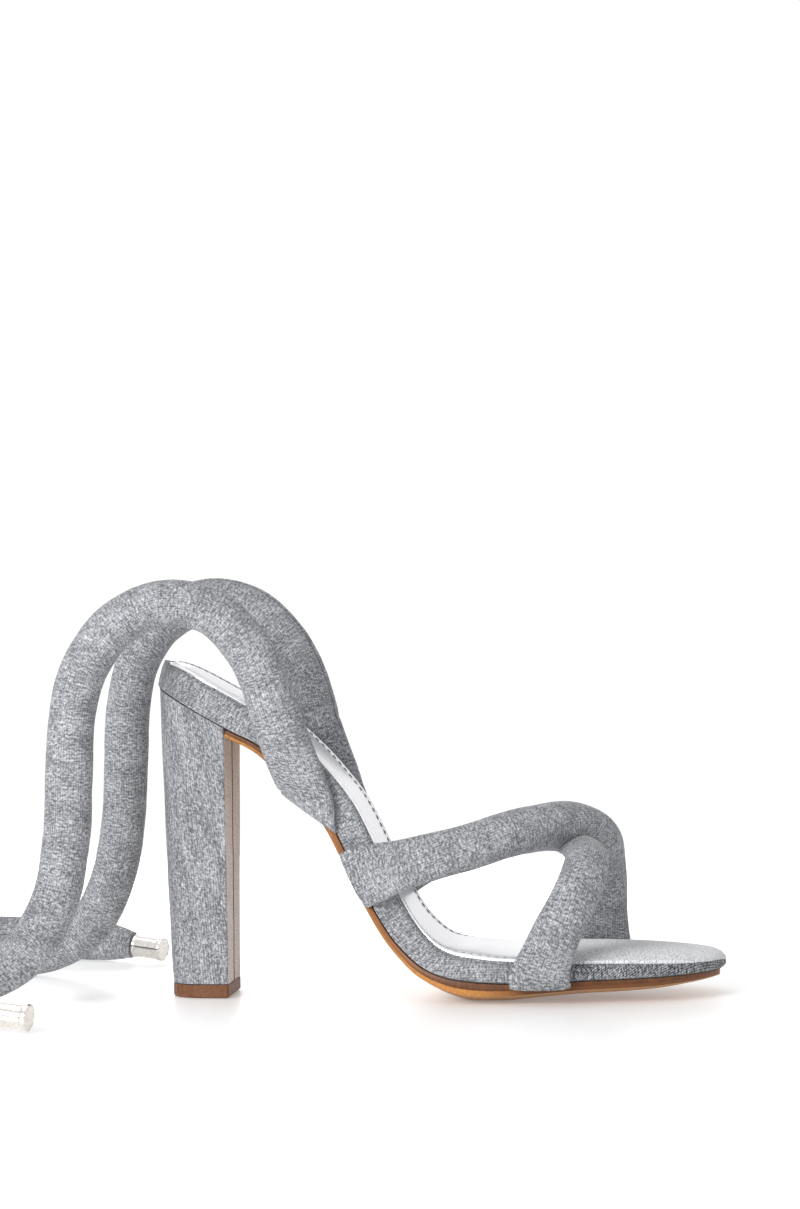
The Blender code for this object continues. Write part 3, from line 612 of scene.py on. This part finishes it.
def make_camera():
    """The photo's camera, looking along +Y before it is swung, pitched and rolled."""
    swing = Matrix.Rotation(radians(CAMERA_SWING), 4, "Z")
    pitch = Matrix.Rotation(radians(90 + CAMERA_PITCH), 4, "X")
    roll = Matrix.Rotation(radians(-CAMERA_ROLL), 4, "Z")
    data = bpy.data.cameras.new("photo_camera")
    data.sensor_fit = "HORIZONTAL"
    data.sensor_width = CAMERA_SENSOR
    data.lens = CAMERA_LENS
    data.clip_start = 0.05
    camera = bpy.data.objects.new("photo_camera", data)
    bpy.context.scene.collection.objects.link(camera)
    camera.matrix_world = Matrix.Translation(CAMERA_PLACE) @ swing @ pitch @ roll
    bpy.context.scene.camera = camera


# Padded straps and ties

Ring = namedtuple("Ring", "middle normal width thick square skew", defaults=(0.0,))


def ring_frame(ring, tangent):
    """Directions across a section and out of it, the first one skewed along the way."""
    normal = (ring.normal - tangent * ring.normal.dot(tangent)).normalized()
    across = tangent.cross(normal).normalized()
    if across.x < 0:
        across = -across
    level = (tangent - ring.normal * tangent.dot(ring.normal)).normalized()
    across = (across + level * tan(ring.skew)).normalized() / cos(ring.skew)
    return across, normal


def superellipse(ring, across, normal, count, grow):
    """Points round one section; grow(angle) is added to its half sizes."""
    points = []
    for i in range(count):
        angle = 2 * pi * (i + 0.5) / count
        c, s = cos(angle), sin(angle)
        power = 2 / ring.square
        more = grow(angle)
        u = copysign(abs(c) ** power, c) * (ring.width / 2 + more)
        v = copysign(abs(s) ** power, s) * (ring.thick / 2 + more)
        points.append(ring.middle + across * u + normal * v)
    return points


def dense_rings(rings, step):
    """Smoothly filled rings, about step apart."""
    places = distances([ring.middle for ring in rings])
    columns = list(zip(*[(*ring.middle, *ring.normal, *ring[2:]) for ring in rings]))
    count = max(int(places[-1] / step), 8)
    out = []
    for k in range(count + 1):
        at = places[-1] * k / count
        values = [smooth_value(places, column, at) for column in columns]
        out.append(Ring(Vector(values[:3]), Vector(values[3:6]).normalized(), *values[6:]))
    return out


def tangents(rings):
    out = []
    for k in range(len(rings)):
        ahead = rings[min(k + 1, len(rings) - 1)].middle
        behind = rings[max(k - 1, 0)].middle
        out.append((ahead - behind).normalized())
    return out


def foot_rings(along, side):
    """Rings of a strap's foot, turned in under the sole's edge and bulging a little over it."""
    narrow = INNER_FOOT_WIDTH if (along, side) == (LOWER_STRAP_FEET[1], MEDIAL) else 1.0
    section = SoleSection(along - (1 - narrow) * FOOT_WIDTH / 2 / SOLE_LENGTH)
    edge = section.point(side * section.half, 0.0)
    out = Vector((0, side, 0))
    rings = []
    for row in STRAP_FOOT:
        turn = radians(row.turn)
        middle = edge + (out * row.out + section.up * row.up) * STRAP_WIDTH
        normal = out * cos(turn) + section.up * sin(turn)
        width = row.width * FOOT_WIDTH * narrow
        rings.append(Ring(middle, normal, width, row.thick * STRAP_WIDTH, row.square))
    return rings


def strap_rings(feet, bends):
    """All rings of a strap, from its lateral foot over the toes to its medial foot."""
    axis_height = 0.42 * INSTEP_HEIGHT
    ends = [SoleSection(at) for at in feet]
    low = [end.point(side * end.half, 0.0).z for end, side in zip(ends, (LATERAL, MEDIAL))]
    free = []
    for k, (along, across, height, width, thick) in enumerate(bends):
        base = low[0] + (low[1] - low[0]) * k / (len(bends) - 1)
        z = base + height * (INSTEP_HEIGHT - base)
        middle = Vector((along * SOLE_LENGTH - HEEL_BACK, across * BALL_WIDTH / 2, z))
        normal = Vector((0, middle.y, max(z - axis_height, 0.0))).normalized()
        free.append(Ring(middle, normal, width * STRAP_WIDTH, thick * STRAP_WIDTH, 2.0))
    return foot_rings(feet[0], LATERAL) + free + foot_rings(feet[1], MEDIAL)[::-1]


# Soft folds of a padded piece: from and to along it, depth, folds per metre and the side they sit
# on in degrees round the section
Folds = namedtuple("Folds", "start end depth pitch side")
LUMP, RIPPLE = 0.35 * MM, 0.077 * MM  # unevenness of the padding, and of the cloth over it
ROOT_SIDES, ROOT_STEP = 48, 1.0 * MM
STRAP_SIDES, STRAP_STEP = 56, 1.1 * MM
TIP_SIDES = 56


def uneven(angle, along, spread, pitch, seed):
    """Smooth noise on a tube, round its section and along it."""
    reach = 0.9 * spread
    return noise.noise((reach * cos(angle), reach * sin(angle), along * pitch + seed))


def padded_surface(rings, count, folds, seed, plain_end=False):
    """Rings of a padded tube, slightly uneven, with soft folds where it bends or is caught."""
    lines = []
    places = distances([ring.middle for ring in rings])
    total = places[-1]
    for ring, tangent, along in zip(rings, tangents(rings), places):
        across, normal = ring_frame(ring, tangent)

        def grow(angle, ring=ring, along=along):
            value = LUMP * uneven(angle, along, 1, 55, seed)
            value *= min(ring.thick / (0.5 * TIE_DIAMETER), 1.0)
            value += RIPPLE * uneven(angle, along, 3, 260, seed)
            for fold in folds:
                span = (along - fold.start) / (fold.end - fold.start)
                if 0 < span < 1:
                    fade = sin(pi * span) ** 0.7
                    facing = max(0.0, cos(angle - radians(fold.side))) ** 1.5
                    wobble = 3.9 * uneven(angle, along, 1.5, 90, seed)
                    wave = sin(2 * pi * (along - fold.start) * fold.pitch + wobble)
                    value += fold.depth * fade * facing * wave
            return value * (min(1.0, (total - along) / PLAIN_END) if plain_end else 1.0)

        lines.append(superellipse(ring, across, normal, count, grow))
    return lines


def root_rings(along, side):
    """Rings of a tie's flattened root, from its closed end up to the round tie."""
    section = SoleSection(along)
    near = [SoleSection(along + shift * ROOT_REACH) for shift in (-1, -0.5, 0, 0.5, 1)]
    widest = max(side * other.centre + other.half for other in near)
    edge = Vector((section.x, 0, section.z))
    wall = widest + WALL_BULGE * EDGE_ROLL + ROOT_CLEARANCE
    out = Vector((0, side, 0))
    rings = []
    for row in TIE_ROOT:
        thick = row.thick * TIE_DIAMETER
        middle = edge + Vector((-row.back, 0, row.up)) * TIE_DIAMETER + out * (wall + thick / 2)
        square = 2.8 - 0.8 * row.thick
        skew = radians(row.skew)
        rings.append(Ring(middle, out, row.width * TIE_DIAMETER, thick, square, skew))
    return rings


def tie_rings(rings, route, count):
    """Round rings of the free tie, from the root's face to the tip, and the tie's length."""
    start = rings[-1].middle
    leave = (start - rings[-2].middle).normalized()
    second = start + leave * (GAP + TIE_STRAIGHT)
    points, length = smooth_path([second] + [Vector(p) * MM for p in route], count)
    points = [start + leave * (TIE_STRAIGHT * k / 3) for k in range(3)] + points
    length += TIE_STRAIGHT
    end = points[-1]
    narrow = TIP_DIAMETER * 1.08 / TIE_DIAMETER
    out = []
    normal = rings[-1].normal
    for k, point in enumerate(points):
        tangent = points[min(k + 1, len(points) - 1)] - points[max(k - 1, 0)]
        tangent.normalize()
        normal = (normal - tangent * normal.dot(tangent)).normalized()
        near = min((end - point).length / TIE_GATHER, 1.0)
        size = TIE_DIAMETER * (narrow + (1 - narrow) * sin(pi / 2 * near))
        point.z = max(point.z, size / 2 + GAP / 2)
        out.append(Ring(point, normal, size, size, 2.0))
    return out, length


def free_rings(rings, count, seed):
    """Sections of a free round tie, turning with it so that it isn't twisted."""
    lines = []
    places = distances([ring.middle for ring in rings])
    total = places[-1]
    for ring, tangent, along in zip(rings, tangents(rings), places):
        across = tangent.cross(ring.normal).normalized()
        normal = across.cross(tangent).normalized()
        points = []
        for i in range(count):
            angle = 2 * pi * (i + 0.5) / count
            grow = TIE_LUMP * uneven(angle, along, 1, 45, seed)
            grow += TIE_RIPPLE * uneven(angle, along, 2.5, 230, seed)
            near = max(0.0, 1 - (total - along) / TIE_GATHER)
            grow += GATHER_DEPTH * near * sin(PLEATS * angle + seed)
            grow -= SEAM_DEPTH * max(0.0, cos(angle - SEAM_SIDE)) ** SEAM_NARROW
            grow *= min(1.0, along / PLAIN_END, (total - along) / PLAIN_END + 0.35)
            size = ring.width / 2 + grow
            wide = 1 + (TIE_ROOT[-1].width - 1) * max(0.0, 1 - along / (3 * PLAIN_END))
            point = ring.middle + (across * (wide * cos(angle)) + normal * sin(angle)) * size
            point.z = max(point.z, GAP / 2)
            points.append(point)
        lines.append(points)
    return lines


def make_tie(side, along, route, seed):
    """A tie: its flattened root, its free stretch as a cord and the metal tip on its end."""
    name = "lateral" if side == LATERAL else "medial"
    coarse = root_rings(along, side)
    root = dense_rings(coarse, ROOT_STEP)
    creases = [Folds(0.0, 0.016, 0.35 * MM, 240, 90), Folds(0.006, 0.034, 0.16 * MM, 170, 60)]
    cloth = padded_surface(root, ROOT_SIDES, creases, seed, plain_end=True)
    piece = loft(f"tie_root_{name}_cloth", cloth, ["jersey"])
    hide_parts(f"tie_root_{name}")
    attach(piece, "root")

    rings, length = tie_rings(coarse, route, TIE_RINGS)
    lines = free_rings(rings, TIE_SIDES, seed)
    seam = int(SEAM_SIDE / (2 * pi) * TIE_SIDES - 0.5)

    def slot_of(k, i):
        return 1 if i == seam else 0

    tie = loft(f"tie_{name}_cloth", lines, ["jersey", "seam"], slot_of)
    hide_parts(f"tie_{name}")
    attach(tie, "root")
    way = (rings[-1].middle - rings[-2].middle).normalized()
    tip = make_tip(name, rings[-1].middle + way * GAP, way)
    path = [tuple(ring.middle) for ring in rings]
    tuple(path[0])


# Shares of a tip's radius and length, from the tie outwards
TIP_PROFILE = [
    (0.80, 0.00), (0.90, 0.012), (0.96, 0.03), (1.00, 0.05), (1.00, 0.10),
    (0.975, 0.125), (0.93, 0.135), (0.93, 0.16), (0.94, 0.50), (0.93, 0.83), (0.975, 0.845),
    (1.00, 0.87), (1.00, 0.945), (0.97, 0.985), (0.90, 1.00), (0.88, 0.985),
]


def make_tip(name, place, way):
    """A turned metal end: rolled rim, plain barrel, second rim and a flat disc set in."""
    turn = way.to_track_quat("Z", "Y")
    rings = []
    for share, length in TIP_PROFILE:
        radius = share * TIP_DIAMETER / 2
        ring = []
        for i in range(TIP_SIDES):
            angle = 2 * pi * i / TIP_SIDES
            local = Vector((cos(angle) * radius, sin(angle) * radius, length * TIP_LENGTH))
            ring.append(place + turn @ local)
        rings.append(ring)
    tip = loft(f"tip_{name}_nickel", rings, ["nickel"], sharp=35.0)
    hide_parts(f"tip_{name}")
    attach(tip, "root")
    return tip


# Feet, bends, seed of the unevenness and folds of each strap
STRAPS = {
    "strap_over": (
        UPPER_STRAP_FEET, UPPER_STRAP, 3.1,
        [Folds(0.008, 0.045, 0.22 * MM, 260, 90), Folds(0.150, 0.185, 0.18 * MM, 210, 90)],
    ),
    "strap_under": (
        LOWER_STRAP_FEET, LOWER_STRAP, 7.7,
        [Folds(0.006, 0.030, 0.26 * MM, 250, 90), Folds(0.055, 0.085, 0.20 * MM, 200, 270)],
    ),
}


def make_straps():
    """The two padded straps of the upper, which run into each other where they cross."""
    for name, (feet, bends, seed, folds) in STRAPS.items():
        rings = dense_rings(strap_rings(feet, bends), STRAP_STEP)
        cloth = padded_surface(rings, STRAP_SIDES, folds, seed)
        piece = loft(name, cloth, ["jersey"])
        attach(piece, "root")
        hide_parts("upper")


# Sole

NOSE_ROUND = 3.4 * MM  # length over which the jersey rounds off at the toe
NOSE_TIP = 0.35 * MM  # how blunt the jersey stays at the very tip
CLOTH_CHANGE = 0.66  # share of the sole's length where the front's stretched knit and the top's painted sheen start
WALL_STEPS = (6, 21)  # first and last face of the footbed's half ring that is its wall
SOLE_STEPS = 120


def footbed_half(section, recess):
    """Half a ring of the footbed, from the middle of its underside to the middle of its top."""
    half, wall = section.half, section.wall
    roll = min(EDGE_ROLL, 0.5 * wall)
    rim = half - SOCK_RIM
    ring = [(share * half, -section.sag(share)) for share in (0, 0.35, 0.6, 0.82, 0.93)]
    ring += [(half - 0.5 * roll, -section.sag(1) + 0.02 * roll), (half - 0.12 * roll, 0.10 * roll)]
    for k in range(9):
        share = k / 8
        bulge = WALL_BULGE * roll * sin(pi * share)
        ring.append((half + bulge, 0.3 * roll + (wall - 1.3 * roll) * share))
    for k in range(1, 8):
        angle = pi / 2 * k / 8
        ring.append((half - roll * (1 - cos(angle)), wall - roll + roll * sin(angle)))
    ring.append((half - roll, wall))
    for share in (0.35, 0.7):
        side = half - roll + (rim - half + roll) * share
        ring.append((side, section.top(side / half)))
    ring.append((rim + 0.1 * MM, section.top(rim / half) - 0.10 * recess))
    for share in (1.0, 0.96, 0.9, 0.82, 0.72, 0.6, 0.48, 0.36, 0.24, 0.12, 0.0):
        ring.append((share * rim, section.top(share * rim / half) - recess))
    return ring


def make_footbed():
    """The footbed in its jersey: one mesh, whose front wall shows the stretched, slanting knit and
    whose top at the front is painted much lighter as a painted sheen.
    """
    deep = SOCK_THICKNESS + GAP
    rings = []
    places = stations(0.0, SOCK_FRONT, SOLE_STEPS) + stations(SOCK_FRONT + 0.004, 1.0, SOLE_STEPS)
    for place in places:
        recess = deep if SOCK_RIM / SOLE_LENGTH < place <= SOCK_FRONT else 0.0
        section = SoleSection(place)
        from_tip = (1 - place) * SOLE_LENGTH
        nose = rounded((from_tip + NOSE_TIP) / NOSE_ROUND, 2.0)
        centre = 0.42 * section.wall
        half_ring = [(s, centre + (h - centre) * nose) for s, h in footbed_half(section, recess)]
        rings.append(mirrored(section, half_ring))
    halves = len(half_ring)

    def slot_of(k, i):
        step = i if i < halves else 2 * (halves - 1) - i
        if places[k] < CLOTH_CHANGE or step < WALL_STEPS[0]:
            return 0
        # Faces above the wall at the front get the painted sheen
        return 1 if step <= WALL_STEPS[1] else 2

    piece = loft("footbed_cloth", rings, ["jersey_wall", "jersey_toe", "jersey_top_painted_sheen"], slot_of)
    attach(piece, "root")
    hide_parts("footbed")


# The sock's edge: inwards from its outline and up from its surface, in millimetres
SOCK_EDGE = [
    (0.00, -0.55), (0.03, 0.10), (0.18, 0.50), (0.50, 0.75), (0.85, 0.60), (1.08, 0.16),
    (1.20, -0.02), (1.38, 0.26), (1.70, 0.46), (2.05, 0.34), (2.35, 0.02), (2.90, -0.02),
    (3.30, -0.12), (3.70, 0.00),
]
PIPING_STEPS = (4, 13)  # first and last face of the sock's half ring that is piping
GROOVE_SHADE_STEP = 9  # the face at the bottom of the groove between its two rolls, painted with the dark seam colour as painted shade
STITCHED = (0.020, SOCK_FRONT - 0.012)  # shares of the sole's length where the stitches run
STITCH_INSET = 3.3 * MM
STITCH_LENGTH = 2.1 * MM
STITCH_PITCH = 3.1 * MM
STITCH_THICKNESS = 0.70 * MM
STITCH_RISE = {LATERAL: -0.08 * MM, MEDIAL: 0.12 * MM}  # from the sock's surface
# One stitch: shares of its length, with its thickness there and how deep it is sunk
STITCH_SHAPE = [(0, 0.25, 0.8), (0.14, 0.8, 0.25), (0.5, 1, 0), (0.86, 0.8, 0.25), (1, 0.25, 0.8)]
STITCH_SIDES = 6


def sock_top(section, side):
    return section.top(side / section.half)


def half_step(i, halves):
    """The face of a half ring that face i of the whole ring is or mirrors."""
    return i if i < halves - 1 else 2 * (halves - 1) - 1 - i


def make_insole():
    """The silver sock: rolled double piping at its edge, a stitch groove and a soft top, with the
    groove between the piping's rolls painted dark as painted shade.
    """
    start = (SOCK_RIM + GAP) / SOLE_LENGTH
    rings = []
    for place in stations(start, SOCK_FRONT - 2 * GAP / SOLE_LENGTH, 130):
        section = SoleSection(place)
        rim = section.half - SOCK_RIM - GAP
        top = []
        for inward, up in SOCK_EDGE:
            side = rim - min(inward * MM, 0.45 * rim)
            top.append((side, sock_top(section, side) + up * MM))
        inner = top[-1][0]
        for share in (0.9, 0.78, 0.64, 0.5, 0.36, 0.24, 0.12, 0.0):
            top.append((share * inner, sock_top(section, share * inner)))
        under = []
        for share in (0.0, 0.36, 0.7, 1.0):
            under.append((share * rim, sock_top(section, share * rim) - SOCK_THICKNESS))
        rings.append(mirrored(section, under + top))
    halves = len(under + top)

    def slot_of(k, i):
        step = half_step(i, halves)
        # Painted shade: the groove's bottom face gets the dark seam colour
        if step == GROOVE_SHADE_STEP:
            return 2
        return 1 if PIPING_STEPS[0] <= step <= PIPING_STEPS[1] else 0

    piece = loft("sock", rings, ["sock", "piping", "seam"], slot_of, sharp=70.0)
    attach(piece, "root")
    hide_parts("insole")


def stitch_lines():
    """Points of the two stitch lines, from the heel forwards."""
    lines = []
    for side in (LATERAL, MEDIAL):
        line = []
        for place in stations(*STITCHED, 150):
            section = SoleSection(place)
            reach = section.half - SOCK_RIM - GAP - STITCH_INSET
            if reach > 1.0 * MM:
                height = sock_top(section, reach) + STITCH_RISE[side]
                line.append(section.point(side * reach, height))
        lines.append(line)
    return lines


def stitch_rings(start, end):
    """Rings of one small stitch, thinner at its ends and sunk a little there."""
    way = (end - start).normalized()
    up = Vector((0, 1, 0)).cross(way).normalized()
    if up.z < 0:
        up = -up
    across = way.cross(up).normalized()
    radius = STITCH_THICKNESS / 2
    rings = []
    for share, size, sink in STITCH_SHAPE:
        middle = start.lerp(end, share) - up * (radius * sink)
        ring = []
        for i in range(STITCH_SIDES):
            angle = 2 * pi * i / STITCH_SIDES
            ring.append(middle + (across * cos(angle) + up * sin(angle)) * radius * size)
        rings.append(ring)
    return rings


def make_stitches():
    """All stitches of the sock as one piece."""
    vertices, faces = [], []
    for line in stitch_lines():
        lengths = distances(line)
        for k in range(int(lengths[-1] / STITCH_PITCH)):
            at = k * STITCH_PITCH
            ends = [point_at(line, lengths, place) for place in (at, at + STITCH_LENGTH)]
            rings = stitch_rings(*ends)
            first = len(vertices)
            for ring in rings:
                vertices += ring
            last = len(vertices) - STITCH_SIDES
            for low in range(first, last, STITCH_SIDES):
                high = low + STITCH_SIDES
                for i in range(STITCH_SIDES):
                    j = (i + 1) % STITCH_SIDES
                    faces.append((low + i, low + j, high + j, high + i))
            faces.append(tuple(first + i for i in reversed(range(STITCH_SIDES))))
            faces.append(tuple(last + i for i in range(STITCH_SIDES)))
    piece = make_piece("sock_stitches", vertices, faces, ["thread"])
    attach(piece, "root")


# The outsole's edge: inwards in millimetres, and down as a share of its thickness
OUTSOLE_EDGE = [
    (0.05, 0.06), (0.0, 0.16), (0.0, 0.35), (0.02, 0.54), (0.16, 0.585), (0.22, 0.63), (0.25, 0.80),
    (0.45, 0.93),
]
PAINTED_STEPS, STRIPE_STEPS = 5, 4  # faces of that edge which are dark, and which are the stripe


def settled(z):
    """Height of an underside near the floor: flat at first, then back to its own height."""
    if z >= 2 * FLOOR_SNAP:
        return z
    return max(0.0, z - FLOOR_SNAP / 2) * 4 / 3


def make_outsole():
    """The outsole: a painted dark edge, a bevelled lighter stripe under it and a tan underside."""
    start = (HEEL_BACK + HEEL_FRONT + OUTSOLE_TUCK) / SOLE_LENGTH
    end = 1 - OUTSOLE_TIP_INSET / SOLE_LENGTH
    rings = []
    shares = (0, 0.2, 0.35, 0.48, 0.6, 0.72, 0.82, 0.92, 0.985)
    for place in stations(start, end, SOLE_STEPS):
        section = SoleSection(place)
        half = section.half - OUTSOLE_INSET
        thick = section.outsole - GAP
        top = [(share * half, -section.sag(share) - GAP) for share in shares]
        edge = [(half - inward * MM, -GAP - down * thick) for inward, down in OUTSOLE_EDGE]
        under = [(side, height - thick) for side, height in reversed(top)]
        ring = mirrored(section, top + edge + under)
        for point in ring:
            point.z = settled(point.z)
        rings.append(ring)
    halves = 2 * len(shares) + len(OUTSOLE_EDGE)
    stripe_start = len(shares) - 1 + PAINTED_STEPS

    def slot_of(k, i):
        step = half_step(i, halves)
        if step < stripe_start:
            return 0
        return 1 if step < stripe_start + STRIPE_STEPS else 2

    layers = ["outsole_edge", "outsole_stripe", "outsole_tan"]
    piece = loft("outsole_leather", rings, layers, slot_of, sharp=50.0)
    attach(piece, "root")
    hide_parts("outsole")


# Heel

HEEL_ROUND_STEPS = 20
HEEL_ROWS = 60
HEEL_UNEVEN = 0.18 * MM
HEEL_CLEARANCE = 0.66 * MM  # below the seat
BREAST_SEAM_FACES, BREAST_FACES = 2, 7  # from the middle of the breast to either side


def heel_outline(front, back, width):
    """Level outline of the heel: flat breast with a seam groove, straight sides, round back."""
    half = width / 2
    start = front - 0.30 * (front - back)
    ring = [(front - 0.45 * MM, 0.0), (front - 0.12 * MM, 0.5 * MM), (front, 1.1 * MM)]
    ring += [(front, half * share) for share in (0.25, 0.5, 0.75)]
    for k in range(5):
        angle = pi / 2 * k / 4
        x = front - HEEL_CORNER * (1 - cos(angle))
        ring.append((x, half - HEEL_CORNER * (1 - sin(angle))))
    corner = front - HEEL_CORNER
    ring += [(corner + (start - corner) * share, half) for share in (0.35, 0.7)]
    for k in range(HEEL_ROUND_STEPS + 1):
        turn = pi / 2 * k / HEEL_ROUND_STEPS
        x = start - (start - back) * sin(turn) ** 0.8
        ring.append((x, half * max(cos(turn), 0.0) ** 0.8))
    return ring + [(x, -y) for x, y in reversed(ring[1:-1])]


def seat_underside(x):
    """Height of the footbed's underside over a point of the seat, which is straight across."""
    low, high = 0.0, 0.3
    for _ in range(30):
        middle = (low + high) / 2
        if SoleSection(middle).x < x:
            low = middle
        else:
            high = middle
    return SoleSection(low).z


def make_heel():
    """The covered block heel, with the cloth's seam down the middle of its breast."""
    bottom_back = HEEL_FRONT - HEEL_DEPTH
    top_back = HEEL_SETBACK - HEEL_BACK
    bottom = TOP_LIFT_HEIGHT + GAP
    outline = heel_outline(HEEL_FRONT, top_back, HEEL_TOP_WIDTH)
    tops = [seat_underside(x) - HEEL_CLEARANCE for x, _ in outline]
    rings = []
    for row in range(HEEL_ROWS + 1):
        share = row / HEEL_ROWS
        back = bottom_back + (top_back - bottom_back) * share**0.8
        width = HEEL_WIDTH + (HEEL_TOP_WIDTH - HEEL_WIDTH) * share**1.2
        ring = []
        for (x, y), top in zip(heel_outline(HEEL_FRONT, back, width), tops):
            z = bottom + (top - bottom) * share
            spot = Vector((x, y, z)) * 60
            away = Vector((x, y, 0)).normalized()
            ring.append(Vector((x, y, z)) + away * (HEEL_UNEVEN * (noise.noise(spot) - 0.6)))
        rings.append(ring)
    count = len(rings[0])

    def slot_of(k, i):
        # The breast's faces get the warm tint with painted light, and its middle the dark seam
        from_seam = min(i, count - 1 - i)
        if from_seam < BREAST_SEAM_FACES:
            return 2
        return 1 if from_seam < BREAST_FACES else 0

    piece = loft("heel_cloth", rings, ["jersey_heel", "jersey_breast_tint_painted_light", "seam"], slot_of)
    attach(piece, "root")
    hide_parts("heel")
    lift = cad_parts["top_lift"]
    lift.data.materials.clear()
    lift.data.materials.append(LOOKS["top_lift_rubber"])


# Surroundings

# Place, target, size in metres and power in watts of each light
LIGHTS = {
    "key": ((-0.65, -1.35, 0.62), (0.05, 0, 0.06), (0.8, 0.6), 21.0),
    "top": ((-0.10, -0.1, 1.6), (0.05, -0.1, 0), (1.6, 1.4), 5.5),
    "back": ((-0.5, 1.3, 0.7), (0.0, 0, 0.05), (0.9, 0.6), 7.0),
    "fill": ((1.2, -0.9, 0.25), (0.05, 0, 0.06), (0.7, 0.5), 1.5),
}
WORLD_LIGHT = 0.33
WORLD_SEEN = 1.05  # brightness of the world itself and of its reflections
FLOOR_CORNERS = [(-1.3, -1.4, 0), (1.4, -1.4, 0), (1.4, 0.75, 0), (-1.3, 0.75, 0)]
FLOOR_DROP = 0.2 * MM  # keeps the floor clear of the soles
FLOOR_MIDDLE = (90, 0, 0)  # millimetres, below the middle of the shoe
# The floor's own glow at distances in metres from that point, which turns it to plain white
FLOOR_GLOW = [(0.06, 0.26), (0.16, 0.42), (0.45, 0.85)]


def area_light(name, place, target, size, power):
    data = bpy.data.lights.new(name, "AREA")
    data.shape = "RECTANGLE"
    data.size, data.size_y = size
    data.energy = power
    light = bpy.data.objects.new(name, data)
    bpy.context.scene.collection.objects.link(light)
    way = Vector(target) - Vector(place)
    light.rotation_euler = way.to_track_quat("-Z", "Y").to_euler()
    light.location = place


def make_world():
    """A white world, plainly bright where it is seen or mirrored and a soft light elsewhere."""
    world = bpy.data.worlds.new("studio")
    world.use_nodes = True
    nodes, links = world.node_tree.nodes, world.node_tree.links
    lit = nodes["Background"]
    seen = nodes.new("ShaderNodeBackground")
    for background, strength in ((lit, WORLD_LIGHT), (seen, WORLD_SEEN)):
        background.inputs["Color"].default_value = (1.0, 1.0, 1.0, 1.0)
        background.inputs["Strength"].default_value = strength
    path = nodes.new("ShaderNodeLightPath")
    mix = nodes.new("ShaderNodeMixShader")
    plain = nodes.new("ShaderNodeMath")
    plain.operation = "MAXIMUM"
    links.new(path.outputs["Is Camera Ray"], plain.inputs[0])
    links.new(path.outputs["Is Glossy Ray"], plain.inputs[1])
    links.new(plain.outputs[0], mix.inputs[0])
    links.new(lit.outputs[0], mix.inputs[1])
    links.new(seen.outputs[0], mix.inputs[2])
    links.new(mix.outputs[0], nodes["World Output"].inputs["Surface"])
    bpy.context.scene.world = world


def make_surroundings():
    LOOKS["floor"] = floor_material()
    floor = make_piece("floor", FLOOR_CORNERS, [(0, 1, 2, 3)], ["floor"])
    floor.location.z = -FLOOR_DROP
    floor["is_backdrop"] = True
    make_world()
    bpy.context.scene.view_settings.view_transform = "Standard"
    for name, values in LIGHTS.items():
        area_light(name, *values)


def floor_material():
    """Glossy white that glows more with the distance from the shoe."""
    graph = Graph("floor_white", 0.30, Specular_IOR_Level=0.25, Emission_Strength=0.75)
    length = graph.add("ShaderNodeVectorMath", operation="DISTANCE")
    graph.link(graph.map_mm(source="Object"), length.inputs[0])
    length.inputs[1].default_value = FLOOR_MIDDLE
    away = graph.math("DIVIDE", length.outputs["Value"], 1000.0)
    glow = graph.ramp(away, [(at, (value,) * 3) for at, value in FLOOR_GLOW])
    graph.put(graph.shader, "Emission Color", glow)
    grain = graph.noise(graph.map_mm(source="Object"), 0.01, 1.0)
    return graph.finish(graph.ramp(grain, [(0.0, (0.93, 0.93, 0.93)), (1.0, (0.95, 0.95, 0.95))]))


make_camera()
make_materials()
make_tie(LATERAL, LATERAL_ROOT_ALONG, LATERAL_ROUTE, seed=1.3)
make_tie(MEDIAL, MEDIAL_ROOT_ALONG, MEDIAL_ROUTE, seed=5.9)
make_footbed()
make_insole()
make_stitches()
make_outsole()
make_heel()
make_straps()
make_surroundings()

boxes = [[list(corner) for corner in box] for box in (cad_box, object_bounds())]
